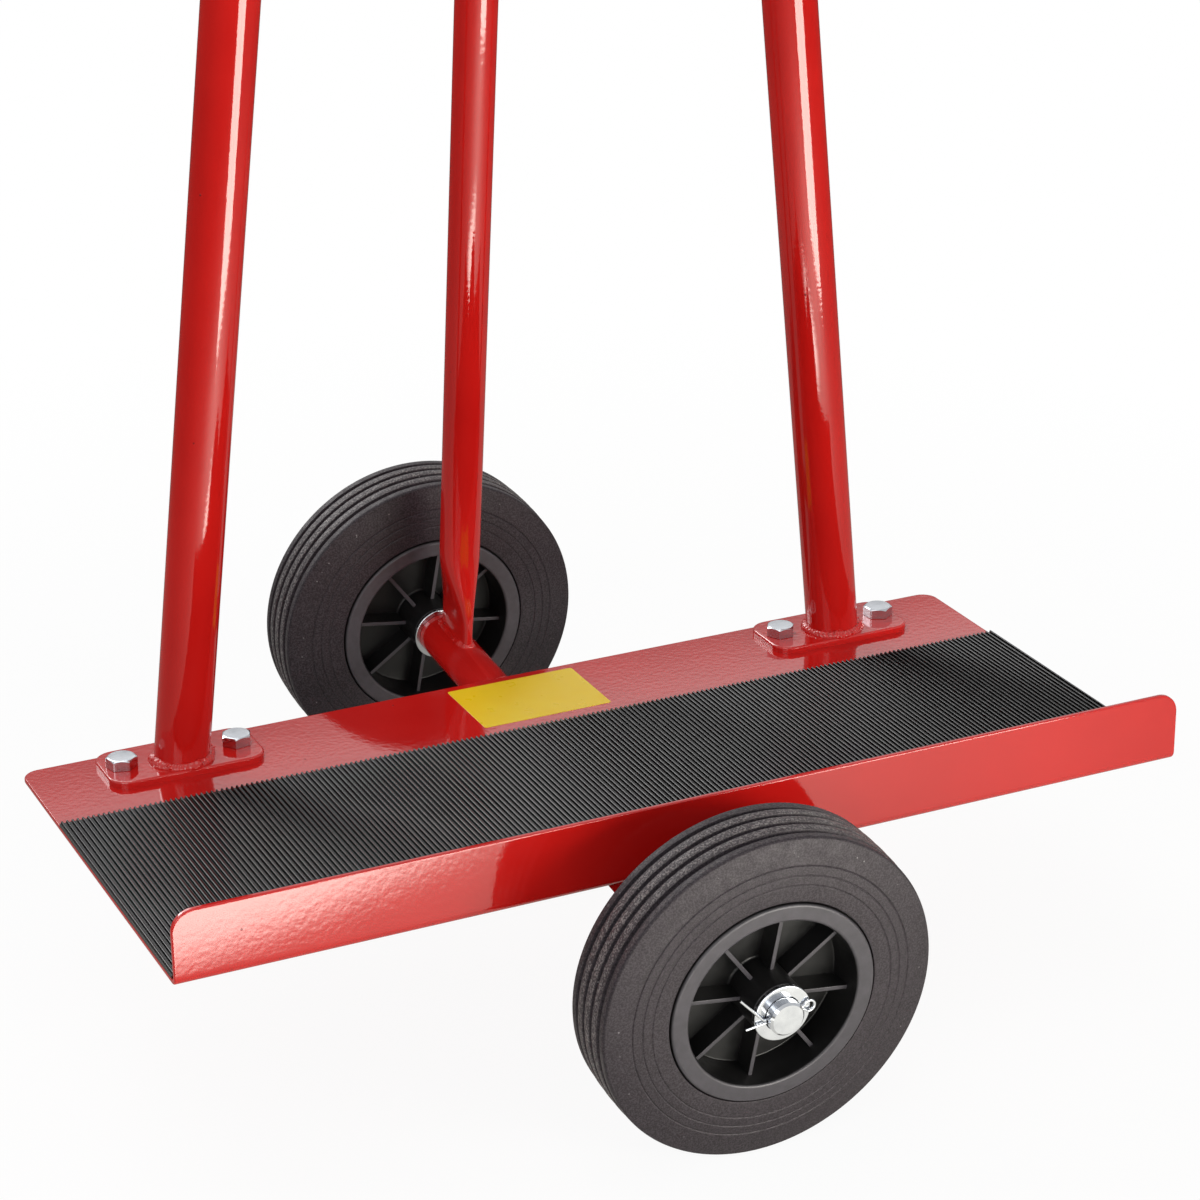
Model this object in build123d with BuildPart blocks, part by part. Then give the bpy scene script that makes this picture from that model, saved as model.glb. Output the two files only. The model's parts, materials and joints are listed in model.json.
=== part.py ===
from build123d import *
from math import asin, atan2, cos, hypot, radians, sin, tan
import os

# Panel trolley: a folded sheet platform, tilted back, on one axle between two solid-tyred wheels,
# with a bent tube frame bolted along its rear edge and a brace from the axle tube to the frame's top bar.
# Millimetres. X runs along the platform, +Y to the rear, +Z up. The origin is on the floor,
# under the middle of the axle.

# Platform: one sheet, folded up along its front into a lip
platform_length = 600
platform_depth = 276            # from the lip's front to the rear edge, along the sheet
platform_tilt = 5.2             # degrees, rear edge down
sheet_thickness = 3
lip_height = 42                 # outside, from the sheet's underside
fold_radius = 2                 # inside the fold
rear_corner_radius = 10
lip_corner_radius = 12

# Ribbed rubber mat glued to the platform
mat_depth = 193.5
mat_base = 1.6
rib_pitch = 3
rib_height = 1.4
rib_foot = 2
rib_shoulder = 1.8              # where the steep sides end
rib_shoulder_height = 1
rib_crest = 0.8

# Frame: one tube bent into an upside-down U, with a flange welded under each leg
overall_height = 1060
frame_tube_diameter = 32
frame_tube_wall = 2
frame_lean = 2.6                # degrees, top to the rear
frame_bend_radius = 60          # of the tube's centre line
top_bar_spread = 223.5          # between the legs' lines, at the top bar
leg_depth = 246.5               # from the lip's front to the legs' feet, along the sheet
leg_run_out = 20                # extra leg length, trimmed off on the flange
flange_width = 46
flange_thickness = 4
flange_corner_radius = 12
flange_inset = 40.7             # from the platform's end
flange_depth = 250              # from the lip's front to the flange's middle, along the sheet
bolt_leg_gap = 18.6             # from the leg's side to the bolt's middle
bolt_end_gap = 11.9             # from the bolt's middle to the flange's end
weld_size = 4.5
weld_gap = 0.05

# Hexagon bolts, nuts and plain washers, M10
bolt_diameter = 10
bolt_hole_clearance = 0.5       # radial
thread_clearance = 0.05         # radial
washer_clearance = 0.25         # radial
hex_across_flats = 16
hex_chamfer_flat = 0.4          # from the flats to the chamfer's end face
hex_chamfer_angle = 30          # degrees
bolt_head_height = 6.4
bolt_end_chamfer = 1
bolt_end_length = 3             # thread past the nut
nut_height = 8
bolt_washer_diameter = 20
bolt_washer_thickness = 2

# Axle, the tube that carries it, and the plate that holds up the tube's front
axle_diameter = 20
axle_tube_clearance = 0.5       # radial
axle_tube_wall = 3
axle_end_length = 6.5           # past the outer washer
axle_end_chamfer = 1.2
tube_front_reach = 23           # tube's front end past the lip
tube_rear_reach = 27            # tube's rear end past the brace's line
brace_gap = 68                  # from the platform's rear edge to the brace's line
gusset_thickness = 4
gusset_top_width = 114
gusset_lower_radius = 25
gusset_fold_gap = 1             # behind the end of the fold

# Brace: one tube with its two ends pressed flat
brace_tube_diameter = 25
brace_tube_wall = 2
brace_foot_width = 39           # pressed foot, along the axle
brace_foot_thickness = 7
brace_foot_length = 24          # up from the axle's line
brace_foot_blend = 52           # from flat to round
brace_head_width = 39           # pressed head, along the top bar
brace_head_thickness = 5
brace_head_length = 30          # below the bolt
brace_head_top = 13             # above the bolt
brace_head_corner = 10
brace_head_blend = 80
brace_seat_gap = 0.1
pressed_edge_bulge = 2          # roundness of a pressed tube's edges
pressed_edge_turn = 36          # degrees of the round tube that become one edge

# Wheels: moulded rim with a solid rubber tyre
wheel_diameter = 195
tread_width = 39.5
crown_drop = 0.9                # of the shoulders below the crown
shoulder_chamfer = 1.2
groove_places = (4.25, 12.75)   # each side of the tyre's middle
groove_width = 2.8
groove_floor = 1.8
groove_depth = 2
sidewall_bulge = 3.6            # beyond the tread's edges
sidewall_curve = 110
rim_width = 49.4
rim_ring_diameter = 120
rim_ring_height = 10            # radial
rim_ring_thickness = 5
rim_ring_edge = 1.8
rim_barrel_wall = 4.4
rim_draft = 2                   # how far the barrel's inside closes in towards the web
rim_web = 5
rim_rib_count = 8
rim_rib_thickness = 2.4
rim_rib_width = 31.4
rim_rib_sink = 2                # of the ribs' ends into the boss and the barrel
rim_rib_angle = 81.6            # degrees from the X axis to the first rib
hub_length = 61
hub_wall = 5.9
hub_clearance = 0.1             # radial, hub on axle
end_float = 0.3                 # between hub and washer
tyre_gap = 0.1                  # between tyre and rim
tyre_ring_gap = 0.6             # round the outside of the rim's rings

# Axle washers and split pins
axle_washer_diameter = 33
axle_washer_thickness = 3
axle_washer_clearance = 0.3     # radial
pin_wire = 1.6
pin_leg_gap = 0.1
pin_hole_clearance = 0.25       # radial
pin_washer_gap = 0.4
pin_turn = 7.5                  # degrees, eye up
pin_neck = 1.6                  # from the axle to the eye
pin_eye_length = 6.6
pin_eye_height = 6.4
pin_eye_slope = 2.6             # length over which the legs part into the eye
pin_neck_radius = 2
pin_straight_leg = 12.4         # past the axle
pin_bent_leg = 22
pin_bend_angle = 55             # degrees
pin_bend_radius = 3

# Places that follow from the sizes above
tilt = radians(platform_tilt)
axle_height = wheel_diameter / 2
axle_radius = axle_diameter / 2
axle_tube_bore = axle_radius + axle_tube_clearance
axle_tube_radius = axle_tube_bore + axle_tube_wall
tube_length = tube_front_reach + platform_depth * cos(tilt) + brace_gap + tube_rear_reach
hub_bore = axle_radius + hub_clearance
hub_radius = hub_bore + hub_wall
wheel_offset = tube_length / 2 + axle_washer_thickness + end_float + hub_length / 2
outer_washer_face = wheel_offset + hub_length / 2 + end_float
pin_hole_radius = pin_wire + pin_leg_gap / 2 + pin_hole_clearance
pin_offset = outer_washer_face + axle_washer_thickness + pin_washer_gap + pin_wire / 2
axle_half = outer_washer_face + axle_washer_thickness + axle_end_length
hex_chamfer_radius = hex_across_flats / 2 - hex_chamfer_flat
hex_chamfer_slope = tan(radians(hex_chamfer_angle))
bolt_hole_radius = bolt_diameter / 2 + bolt_hole_clearance

# The deck plane lies in the sheet's top, with its X along the lip's front and its Y running back and down.
# The sheet's rear lower edge rests on top of the axle tube.
deck_y = tube_front_reach - tube_length / 2
deck_z = axle_height + axle_tube_radius + platform_depth * sin(tilt) + sheet_thickness * cos(tilt)
deck = Plane(origin=(0, deck_y, deck_z), x_dir=(1, 0, 0), z_dir=(0, sin(tilt), cos(tilt)))
flange_top = deck.offset(flange_thickness)
sheet_underside = deck.offset(-sheet_thickness)
bolt_spacing = frame_tube_diameter + 2 * bolt_leg_gap
flange_length = bolt_spacing + 2 * bolt_end_gap
leg_spread = platform_length - 2 * flange_inset - flange_length
bolt_places = [
    (side * leg_spread / 2 + end * bolt_spacing / 2, flange_depth) for side in (-1, 1) for end in (-1, 1)
]

# The frame plane holds the centre line of the bent tube, with its X along the top bar and its Y up the lean.
lean = radians(frame_lean)
frame_radius = frame_tube_diameter / 2
frame_foot = deck.from_local_coords((0, leg_depth, flange_thickness))
frame_plane = Plane(origin=frame_foot, x_dir=(1, 0, 0), z_dir=(0, -cos(lean), sin(lean)))
frame_rise = (overall_height - frame_radius - frame_foot.Z) / cos(lean)
top_bar = frame_plane.from_local_coords((0, frame_rise, 0))

# The brace runs up from the axle's line and passes behind the top bar's middle, so that its pressed head,
# which is flush with the rear of the tube, lies against the bar.
brace_radius = brace_tube_diameter / 2
brace_foot_y = tube_length / 2 - tube_rear_reach
brace_offset = frame_radius + brace_seat_gap + brace_head_thickness - brace_radius
brace_reach = hypot(brace_foot_y - top_bar.Y, top_bar.Z - axle_height)
brace_lean = atan2(brace_foot_y - top_bar.Y, top_bar.Z - axle_height) - asin(brace_offset / brace_reach)
brace_length = (brace_reach**2 - brace_offset**2) ** 0.5
brace_up = (0, -sin(brace_lean), cos(brace_lean))
brace_back = (0, cos(brace_lean), sin(brace_lean))
brace_start = (0, brace_foot_y, axle_height)
foot_plane = Plane(origin=brace_start, x_dir=brace_back, z_dir=brace_up)
head_plane = Plane(origin=brace_start, x_dir=(1, 0, 0), z_dir=brace_up)
bar_plane = Plane(origin=top_bar, x_dir=(-1, 0, 0), z_dir=brace_back)

os.makedirs("parts", exist_ok=True)


def save(piece, name):
    piece.part.label = name
    export_step(piece.part, f"parts/{name}.step")


def leg_plane(side):
    # plane across one leg of the frame, at its foot
    foot = frame_plane.from_local_coords((side * leg_spread / 2, 0, 0))
    top = frame_plane.from_local_coords((side * top_bar_spread / 2, frame_rise, 0))
    return Plane(origin=foot, z_dir=top - foot)


def hex_bolt(grip):
    # bolt with its head above the origin and its shank below
    with BuildPart() as bolt:
        with BuildSketch():
            RegularPolygon(hex_across_flats / 2, 6, major_radius=False)
        extrude(amount=bolt_head_height)
        Cone(
            hex_chamfer_radius + bolt_head_height / hex_chamfer_slope,
            hex_chamfer_radius,
            bolt_head_height,
            align=(Align.CENTER, Align.CENTER, Align.MIN),
            mode=Mode.INTERSECT,
        )
        with BuildSketch():
            Circle(bolt_diameter / 2)
        extrude(amount=-(grip + nut_height + bolt_end_length))
        chamfer(bolt.edges().sort_by(Axis.Z)[0], bolt_end_chamfer)
    return bolt.part


def hex_nut():
    # nut below the origin, chamfered at both ends
    with BuildPart() as nut:
        with BuildSketch():
            RegularPolygon(hex_across_flats / 2, 6, major_radius=False)
        extrude(amount=-nut_height)
        for end in (Location((0, 0, -nut_height)), Location((0, 0, 0), (180, 0, 0))):
            with Locations(end):
                Cone(
                    hex_chamfer_radius + nut_height / hex_chamfer_slope,
                    hex_chamfer_radius,
                    nut_height,
                    align=(Align.CENTER, Align.CENTER, Align.MIN),
                    mode=Mode.INTERSECT,
                )
        with BuildSketch():
            Circle(bolt_diameter / 2 + thread_clearance)
        extrude(amount=-nut_height, mode=Mode.SUBTRACT)
    return nut.part


def ring(outer, inner, thickness):
    # flat ring below the origin
    with BuildPart() as washer:
        with BuildSketch():
            Circle(outer)
            Circle(inner, mode=Mode.SUBTRACT)
        extrude(amount=-thickness)
    return washer.part


def placed(plane, places, shape):
    # copies of one fastener at places on a plane
    with BuildPart(plane) as group:
        with Locations(*places):
            add(shape)
    return group


# Platform
fold_plane = Plane(origin=deck.origin, x_dir=deck.y_dir, z_dir=deck.x_dir)
lip_top = lip_height - sheet_thickness
with BuildPart() as platform:
    with BuildSketch(fold_plane) as fold:
        with BuildLine():
            Polyline(
                (0, lip_top),
                (0, -sheet_thickness),
                (platform_depth, -sheet_thickness),
                (platform_depth, 0),
                (sheet_thickness, 0),
                (sheet_thickness, lip_top),
                close=True,
            )
        make_face()
        fillet(fold.vertices().sort_by_distance((0, -sheet_thickness))[0], fold_radius + sheet_thickness)
        fillet(fold.vertices().sort_by_distance((sheet_thickness, 0))[0], fold_radius)
    extrude(amount=platform_length / 2, both=True)
    fillet(platform.edges().filter_by(Axis((0, 0, 0), deck.z_dir)).sort_by(Axis.Y)[-2:], rear_corner_radius)
    fillet(platform.edges().filter_by(Axis((0, 0, 0), deck.y_dir)).sort_by(Axis.Z)[-2:], lip_corner_radius)
    with BuildSketch(deck):
        with Locations(*bolt_places):
            Circle(bolt_hole_radius)
    extrude(amount=-sheet_thickness, mode=Mode.SUBTRACT)
save(platform, "platform")

# Rubber mat, from the end of the fold back, with its ribs running from front to rear
mat_front = sheet_thickness + fold_radius
mat_rear = deck.from_local_coords((0, mat_front + mat_depth, 0))
rib_count = int(platform_length / rib_pitch)
with BuildPart() as rubber_mat:
    with BuildSketch(Plane(origin=mat_rear, x_dir=deck.x_dir, z_dir=-deck.y_dir)):
        with BuildLine():
            outline = [(-platform_length / 2, 0), (-platform_length / 2, mat_base)]
            for rib in range(rib_count):
                middle = (rib - (rib_count - 1) / 2) * rib_pitch
                outline += [
                    (middle - rib_foot / 2, mat_base),
                    (middle - rib_shoulder / 2, mat_base + rib_shoulder_height),
                    (middle - rib_crest / 2, mat_base + rib_height),
                    (middle + rib_crest / 2, mat_base + rib_height),
                    (middle + rib_shoulder / 2, mat_base + rib_shoulder_height),
                    (middle + rib_foot / 2, mat_base),
                ]
            outline += [(platform_length / 2, mat_base), (platform_length / 2, 0)]
            Polyline(*outline, close=True)
        make_face()
    extrude(amount=mat_depth)
save(rubber_mat, "rubber_mat")

# Frame tube, trimmed flush on the flanges and drilled through the top bar
bend_drop = leg_run_out / frame_rise
spread_change = (leg_spread - top_bar_spread) / 2
with BuildPart() as frame_tube:
    with BuildLine(frame_plane) as centre_line:
        FilletPolyline(
            (-leg_spread / 2 - spread_change * bend_drop, -leg_run_out),
            (-top_bar_spread / 2, frame_rise),
            (top_bar_spread / 2, frame_rise),
            (leg_spread / 2 + spread_change * bend_drop, -leg_run_out),
            radius=frame_bend_radius,
        )
    with BuildSketch(Plane(origin=centre_line.line @ 0, z_dir=centre_line.line % 0)):
        Circle(frame_radius)
        Circle(frame_radius - frame_tube_wall, mode=Mode.SUBTRACT)
    sweep()
    split(bisect_by=flange_top, keep=Keep.TOP)
    with BuildSketch(bar_plane):
        Circle(bolt_hole_radius)
    extrude(amount=frame_tube_diameter, both=True, mode=Mode.SUBTRACT)
save(frame_tube, "frame_tube")

# Flanges, each with the weld that runs round its leg
for name, side in (("left", -1), ("right", 1)):
    leg = leg_plane(side)
    with BuildPart() as flange:
        with BuildSketch(leg.offset(-weld_size)):
            Circle(frame_radius + 2 * weld_size)
        with BuildSketch(leg.offset(weld_size)):
            Circle(frame_radius)
        loft()
        with BuildSketch(leg):
            Circle(frame_radius + weld_gap)
        extrude(amount=2 * weld_size, both=True, mode=Mode.SUBTRACT)
        split(bisect_by=flange_top, keep=Keep.TOP)
        with BuildSketch(deck):
            with Locations((side * leg_spread / 2, flange_depth)):
                RectangleRounded(flange_length, flange_width, flange_corner_radius)
                with GridLocations(bolt_spacing, 0, 2, 1):
                    Circle(bolt_hole_radius, mode=Mode.SUBTRACT)
        extrude(amount=flange_thickness)
    save(flange, f"flange_{name}")

# Bolts, washers and nuts that hold the flanges to the platform
flange_washer = ring(bolt_washer_diameter / 2, bolt_diameter / 2 + washer_clearance, bolt_washer_thickness)
flange_grip = flange_thickness + sheet_thickness + bolt_washer_thickness
save(placed(flange_top, bolt_places, hex_bolt(flange_grip)), "flange_bolts")
save(placed(sheet_underside, bolt_places, flange_washer), "flange_washers")
save(placed(sheet_underside.offset(-bolt_washer_thickness), bolt_places, hex_nut()), "flange_nuts")

# Axle tube, welded under the platform
axle_middle = Plane(origin=(0, 0, axle_height), x_dir=(1, 0, 0), z_dir=(0, -1, 0))
with BuildPart() as axle_tube:
    with BuildSketch(axle_middle):
        Circle(axle_tube_radius)
        Circle(axle_tube_bore, mode=Mode.SUBTRACT)
    extrude(amount=tube_length / 2, both=True)
save(axle_tube, "axle_tube")

# Gusset: a plate across the tube's front, narrowing from the platform down round the tube
gusset_front = deck.from_local_coords((0, sheet_thickness + fold_radius + gusset_fold_gap, -sheet_thickness))
gusset_rise = gusset_front.Z - axle_height
with BuildPart() as axle_gusset:
    with BuildSketch(axle_middle.offset(-gusset_front.Y)) as gusset_outline:
        with BuildLine():
            CenterArc((0, 0), gusset_lower_radius, 0, 360)
            Line((-gusset_top_width / 2, gusset_rise), (gusset_top_width / 2, gusset_rise))
        make_hull()
        Circle(axle_tube_radius + weld_gap, mode=Mode.SUBTRACT)
    extrude(amount=-gusset_thickness)
    split(bisect_by=sheet_underside, keep=Keep.BOTTOM)
save(axle_gusset, "axle_gusset")

# Axle, cross-drilled for its two split pins
with BuildPart() as axle:
    with BuildSketch(axle_middle):
        Circle(axle_radius)
    extrude(amount=axle_half, both=True)
    chamfer(axle.edges().filter_by(GeomType.CIRCLE), axle_end_chamfer)
    for end in (-1, 1):
        pin_hole = Plane(
            origin=(0, end * pin_offset, axle_height),
            z_dir=(cos(radians(pin_turn)), 0, sin(radians(pin_turn))),
        )
        with BuildSketch(pin_hole):
            Circle(pin_hole_radius)
        extrude(amount=axle_diameter, both=True, mode=Mode.SUBTRACT)
save(axle, "axle")


def round_section(plane, radius):
    # round tube as four arcs, two long ones that are pressed flat and two short ones that become the edges
    edge = pressed_edge_turn
    with BuildSketch(plane) as section:
        with BuildLine():
            for start, turn in ((-edge / 2, edge), (edge / 2, 180 - edge)):
                CenterArc((0, 0), radius, start, turn)
                CenterArc((0, 0), radius, start + 180, turn)
        make_face()
    return section.sketch


def pressed_section(plane, width, thickness, wall, shift):
    # tube pressed flat: two straight sides and two rounded edges, outside or a wall further in
    bulge = pressed_edge_bulge * (1 - 2 * wall / thickness)
    half = width / 2 - wall
    low = shift - thickness / 2 + wall
    high = shift + thickness / 2 - wall
    with BuildSketch(plane) as section:
        with BuildLine():
            ThreePointArc((half - bulge, low), (half, shift), (half - bulge, high))
            Line((half - bulge, high), (bulge - half, high))
            ThreePointArc((bulge - half, high), (-half, shift), (bulge - half, low))
            Line((bulge - half, low), (half - bulge, low))
        make_face()
    return section.sketch


# Brace: pressed foot standing on the axle tube, round tube, pressed head behind the top bar
foot_round = brace_foot_length + brace_foot_blend
head_flat = brace_length - brace_head_length
head_round = head_flat - brace_head_blend
head_shift = brace_radius - brace_head_thickness / 2
foot_size = (brace_foot_width, brace_foot_thickness)
head_size = (brace_head_width, brace_head_thickness)
with BuildPart() as brace:
    for wall, mode in ((0, Mode.ADD), (brace_tube_wall, Mode.SUBTRACT)):
        radius = brace_radius - wall
        foot_top = pressed_section(foot_plane.offset(brace_foot_length), *foot_size, wall, 0)
        head_base = pressed_section(head_plane.offset(head_flat), *head_size, wall, head_shift)
        extrude(foot_top, amount=-brace_foot_length, mode=mode)
        loft([foot_top, round_section(foot_plane.offset(foot_round), radius)], mode=mode)
        with BuildSketch(foot_plane.offset(foot_round)):
            Circle(radius)
        extrude(amount=head_round - foot_round, mode=mode)
        loft([round_section(head_plane.offset(head_round), radius), head_base], mode=mode)
    with BuildSketch(bar_plane.offset(frame_radius + brace_seat_gap)) as head_outline:
        with Locations((0, (brace_head_top - brace_head_length) / 2)):
            Rectangle(brace_head_width, brace_head_top + brace_head_length)
        fillet(head_outline.vertices().group_by(Axis.Y)[-1], brace_head_corner)
        Circle(bolt_hole_radius, mode=Mode.SUBTRACT)
    extrude(amount=brace_head_thickness)
    with BuildSketch(axle_middle):
        Circle(axle_tube_radius + brace_seat_gap)
    extrude(amount=tube_length / 2, both=True, mode=Mode.SUBTRACT)
save(brace, "brace")

# Bolt through the brace's head and the top bar, with a washer at each end
head_back = bar_plane.offset(frame_radius + brace_seat_gap + brace_head_thickness)
bar_front = bar_plane.offset(-frame_radius)
brace_grip = frame_tube_diameter + brace_seat_gap + brace_head_thickness + 2 * bolt_washer_thickness
save(placed(head_back.offset(bolt_washer_thickness), [(0, 0)], hex_bolt(brace_grip)), "brace_bolt")
save(placed(head_back.offset(bolt_washer_thickness), [(0, 0)], flange_washer), "brace_washer_rear")
save(placed(bar_front, [(0, 0)], flange_washer), "brace_washer_front")
save(placed(bar_front.offset(-bolt_washer_thickness), [(0, 0)], hex_nut()), "brace_nut")

# Radii of the rim and the half widths of rim and tyre
ring_radius = rim_ring_diameter / 2
dish_radius = ring_radius - rim_ring_height
dish_floor_radius = dish_radius - rim_draft
seat_radius = dish_floor_radius + rim_barrel_wall
rim_half = rim_width / 2
ring_inner_face = rim_half - rim_ring_thickness
tread_half = tread_width / 2
tyre_radius = wheel_diameter / 2


def crown(place):
    # radius of the tread at a place across it: a shallow parabola
    return tyre_radius - crown_drop * (place / tread_half) ** 2


def make_rim(centre):
    # revolved half section, mirrored, with straight ribs from boss to barrel
    section = Plane(origin=centre, x_dir=(0, 0, -1), z_dir=(1, 0, 0))
    face = Plane(origin=centre, x_dir=(1, 0, 0), z_dir=(0, -1, 0))
    rib_start = hub_radius - rim_rib_sink
    rib_end = dish_radius + rim_rib_sink / 2
    with BuildPart() as rim:
        with BuildSketch(section) as profile:
            with BuildLine():
                Polyline(
                    (hub_bore, 0),
                    (hub_bore, hub_length / 2),
                    (hub_radius, hub_length / 2),
                    (hub_radius, rim_web / 2),
                    (dish_floor_radius, rim_web / 2),
                    (dish_radius, rim_half),
                    (ring_radius, rim_half),
                    (ring_radius, ring_inner_face),
                    (seat_radius, ring_inner_face),
                    (seat_radius, 0),
                    close=True,
                )
            make_face()
            fillet(profile.vertices().group_by(Axis.Y)[-2], rim_ring_edge)
            mirror(about=Plane.XZ)
        revolve(axis=Axis(centre, (0, 1, 0)))
        with BuildSketch(face):
            with PolarLocations((rib_start + rib_end) / 2, rim_rib_count, rim_rib_angle):
                Rectangle(rib_end - rib_start, rim_rib_thickness)
        extrude(amount=rim_rib_width / 2, both=True)
    return rim


def make_tyre(centre):
    # revolved half section, mirrored: seat between the rim's rings, bulged sidewall, grooved tread
    section = Plane(origin=centre, x_dir=(0, 0, -1), z_dir=(1, 0, 0))
    inner = seat_radius + tyre_gap
    bead = ring_radius + tyre_ring_gap
    shoulder = crown(tread_half)
    tread = [(shoulder, tread_half - shoulder_chamfer)]
    for place in reversed(groove_places):
        tread += [
            (crown(place + groove_width / 2), place + groove_width / 2),
            (crown(place) - groove_depth, place + groove_floor / 2),
            (crown(place) - groove_depth, place - groove_floor / 2),
            (crown(place - groove_width / 2), place - groove_width / 2),
        ]
    with BuildPart() as tyre:
        with BuildSketch(section):
            with BuildLine():
                Polyline(
                    (tyre_radius, 0),
                    (inner, 0),
                    (inner, ring_inner_face - tyre_gap),
                    (bead, ring_inner_face - tyre_gap),
                    (bead, tread_half + sidewall_bulge),
                )
                RadiusArc(
                    (bead, tread_half + sidewall_bulge),
                    (shoulder - shoulder_chamfer, tread_half),
                    sidewall_curve,
                )
                Polyline((shoulder - shoulder_chamfer, tread_half), *tread, (tyre_radius, 0))
            make_face()
            mirror(about=Plane.XZ)
        revolve(axis=Axis(centre, (0, 1, 0)))
    return tyre


def make_split_pin(end):
    # one wire: bent leg, eye and straight leg, lying in the plane across the axle
    turn = radians(pin_turn)
    plane = Plane(
        origin=(0, end * pin_offset, axle_height),
        x_dir=(cos(turn), 0, sin(turn)),
        z_dir=(0, -1, 0),
    )
    rise = (pin_wire + pin_leg_gap) / 2
    bend = -axle_radius - pin_bend_radius / 2
    eye_start = axle_radius + pin_neck
    eye_half = pin_eye_height / 2
    eye_end = eye_start + pin_eye_length
    bend_angle = radians(pin_bend_angle)
    with BuildPart() as pin:
        with BuildLine(plane) as wire:
            FilletPolyline(
                (bend - pin_bent_leg * cos(bend_angle), rise + pin_bent_leg * sin(bend_angle)),
                (bend, rise),
                (eye_start, rise),
                (eye_start + pin_eye_slope, eye_half),
                (eye_end, eye_half),
                (eye_end, -eye_half),
                (eye_start + pin_eye_slope, -eye_half),
                (eye_start, -rise),
                (-axle_radius - pin_straight_leg, -rise),
                radius=[
                    pin_bend_radius,
                    pin_neck_radius,
                    pin_neck_radius,
                    eye_half - pin_leg_gap,
                    eye_half - pin_leg_gap,
                    pin_neck_radius,
                    pin_neck_radius,
                ],
            )
        with BuildSketch(Plane(origin=wire.line @ 0, z_dir=wire.line % 0)):
            Circle(pin_wire / 2)
        sweep()
    return pin


# Wheels, their washers and the split pins that keep them on
axle_washer = ring(axle_washer_diameter / 2, axle_radius + axle_washer_clearance, axle_washer_thickness)
for name, end in (("front", -1), ("rear", 1)):
    wheel_centre = (0, end * wheel_offset, axle_height)
    save(make_rim(wheel_centre), f"{name}_rim")
    save(make_tyre(wheel_centre), f"{name}_tyre")
    save(make_split_pin(end), f"{name}_split_pin")
    for where, face in (("inner", tube_length / 2), ("outer", outer_washer_face)):
        washer_plane = Plane(origin=(0, end * face, axle_height), z_dir=(0, -end, 0))
        save(placed(washer_plane, [(0, 0)], axle_washer), f"{name}_{where}_washer")
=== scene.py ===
import json
import math

import bmesh
import bpy
import numpy as np
from mathutils import Matrix, Vector

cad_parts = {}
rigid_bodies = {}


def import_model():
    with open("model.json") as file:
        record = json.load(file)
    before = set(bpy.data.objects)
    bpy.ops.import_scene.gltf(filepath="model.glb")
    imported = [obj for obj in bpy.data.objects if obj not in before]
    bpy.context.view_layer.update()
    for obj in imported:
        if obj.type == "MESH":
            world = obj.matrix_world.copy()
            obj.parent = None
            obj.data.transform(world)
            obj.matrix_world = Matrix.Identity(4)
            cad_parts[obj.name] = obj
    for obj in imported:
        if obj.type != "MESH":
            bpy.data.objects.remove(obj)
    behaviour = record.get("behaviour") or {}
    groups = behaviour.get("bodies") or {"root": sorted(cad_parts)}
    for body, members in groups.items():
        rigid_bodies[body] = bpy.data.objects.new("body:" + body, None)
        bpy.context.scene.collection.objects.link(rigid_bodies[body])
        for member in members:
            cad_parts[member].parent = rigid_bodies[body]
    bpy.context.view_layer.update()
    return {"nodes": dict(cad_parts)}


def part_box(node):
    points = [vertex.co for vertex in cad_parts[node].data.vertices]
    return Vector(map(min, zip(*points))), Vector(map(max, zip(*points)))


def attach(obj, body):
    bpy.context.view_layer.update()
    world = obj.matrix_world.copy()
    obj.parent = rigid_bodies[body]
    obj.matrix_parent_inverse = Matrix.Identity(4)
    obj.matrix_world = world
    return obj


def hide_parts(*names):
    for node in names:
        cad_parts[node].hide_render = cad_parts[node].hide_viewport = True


# Panel trolley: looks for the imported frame. Sizes below are millimetres, meshes are metres.
mm = 0.001
lipAxis, axleAxis, upAxis = np.eye(3)

for leftOver in list(bpy.data.objects):
    bpy.data.objects.remove(leftOver)
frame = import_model()
print("frame loaded,", len(frame["nodes"]), "nodes")


def nodeBox(node):
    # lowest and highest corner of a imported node, in millimetres
    low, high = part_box(node)
    return np.array(low) / mm, np.array(high) / mm


# The deck lies in the top of the platform's sheet: x along the lip, y back from it, z out of the sheet
tubeLow, tubeHigh = nodeBox("axle_tube")
tubeRadius = (tubeHigh[2] - tubeLow[2]) / 2
axleHeight = (tubeLow[2] + tubeHigh[2]) / 2
deckSet = {
    "tilt": math.radians(5.2), "depth": 276.0, "sheet": 3.0,
    "lipBehindTube": 23.0,  # from the axle tube's front end to the lip
}
deckCos, deckSin = math.cos(deckSet["tilt"]), math.sin(deckSet["tilt"])
deckStart = np.array([
    0.0,
    tubeLow[1] + deckSet["lipBehindTube"],
    tubeHigh[2] + deckSet["depth"] * deckSin + deckSet["sheet"] * deckCos,
])
deckNormal = np.array([0.0, deckSin, deckCos])


def deckPoint(x, y, z):
    # deck start + x along the lip + y down the tilted sheet + z along its normal
    x, y, z = np.broadcast_arrays(x, y, z)
    return deckStart + np.stack([x, y * deckCos + z * deckSin, z * deckCos - y * deckSin], axis=-1)


def smooth(t):
    # 0 to 1 with level ends: 3 t squared - 2 t cubed
    t = np.clip(t, 0.0, 1.0)
    return t * t * (3 - 2 * t)


def unit(vectors):
    # each vector divided by its length
    return vectors / np.linalg.norm(vectors, axis=-1, keepdims=True)


def roundAngles(count):
    # a full circle in even steps
    return np.linspace(0, 2 * math.pi, count, endpoint=False)


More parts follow.
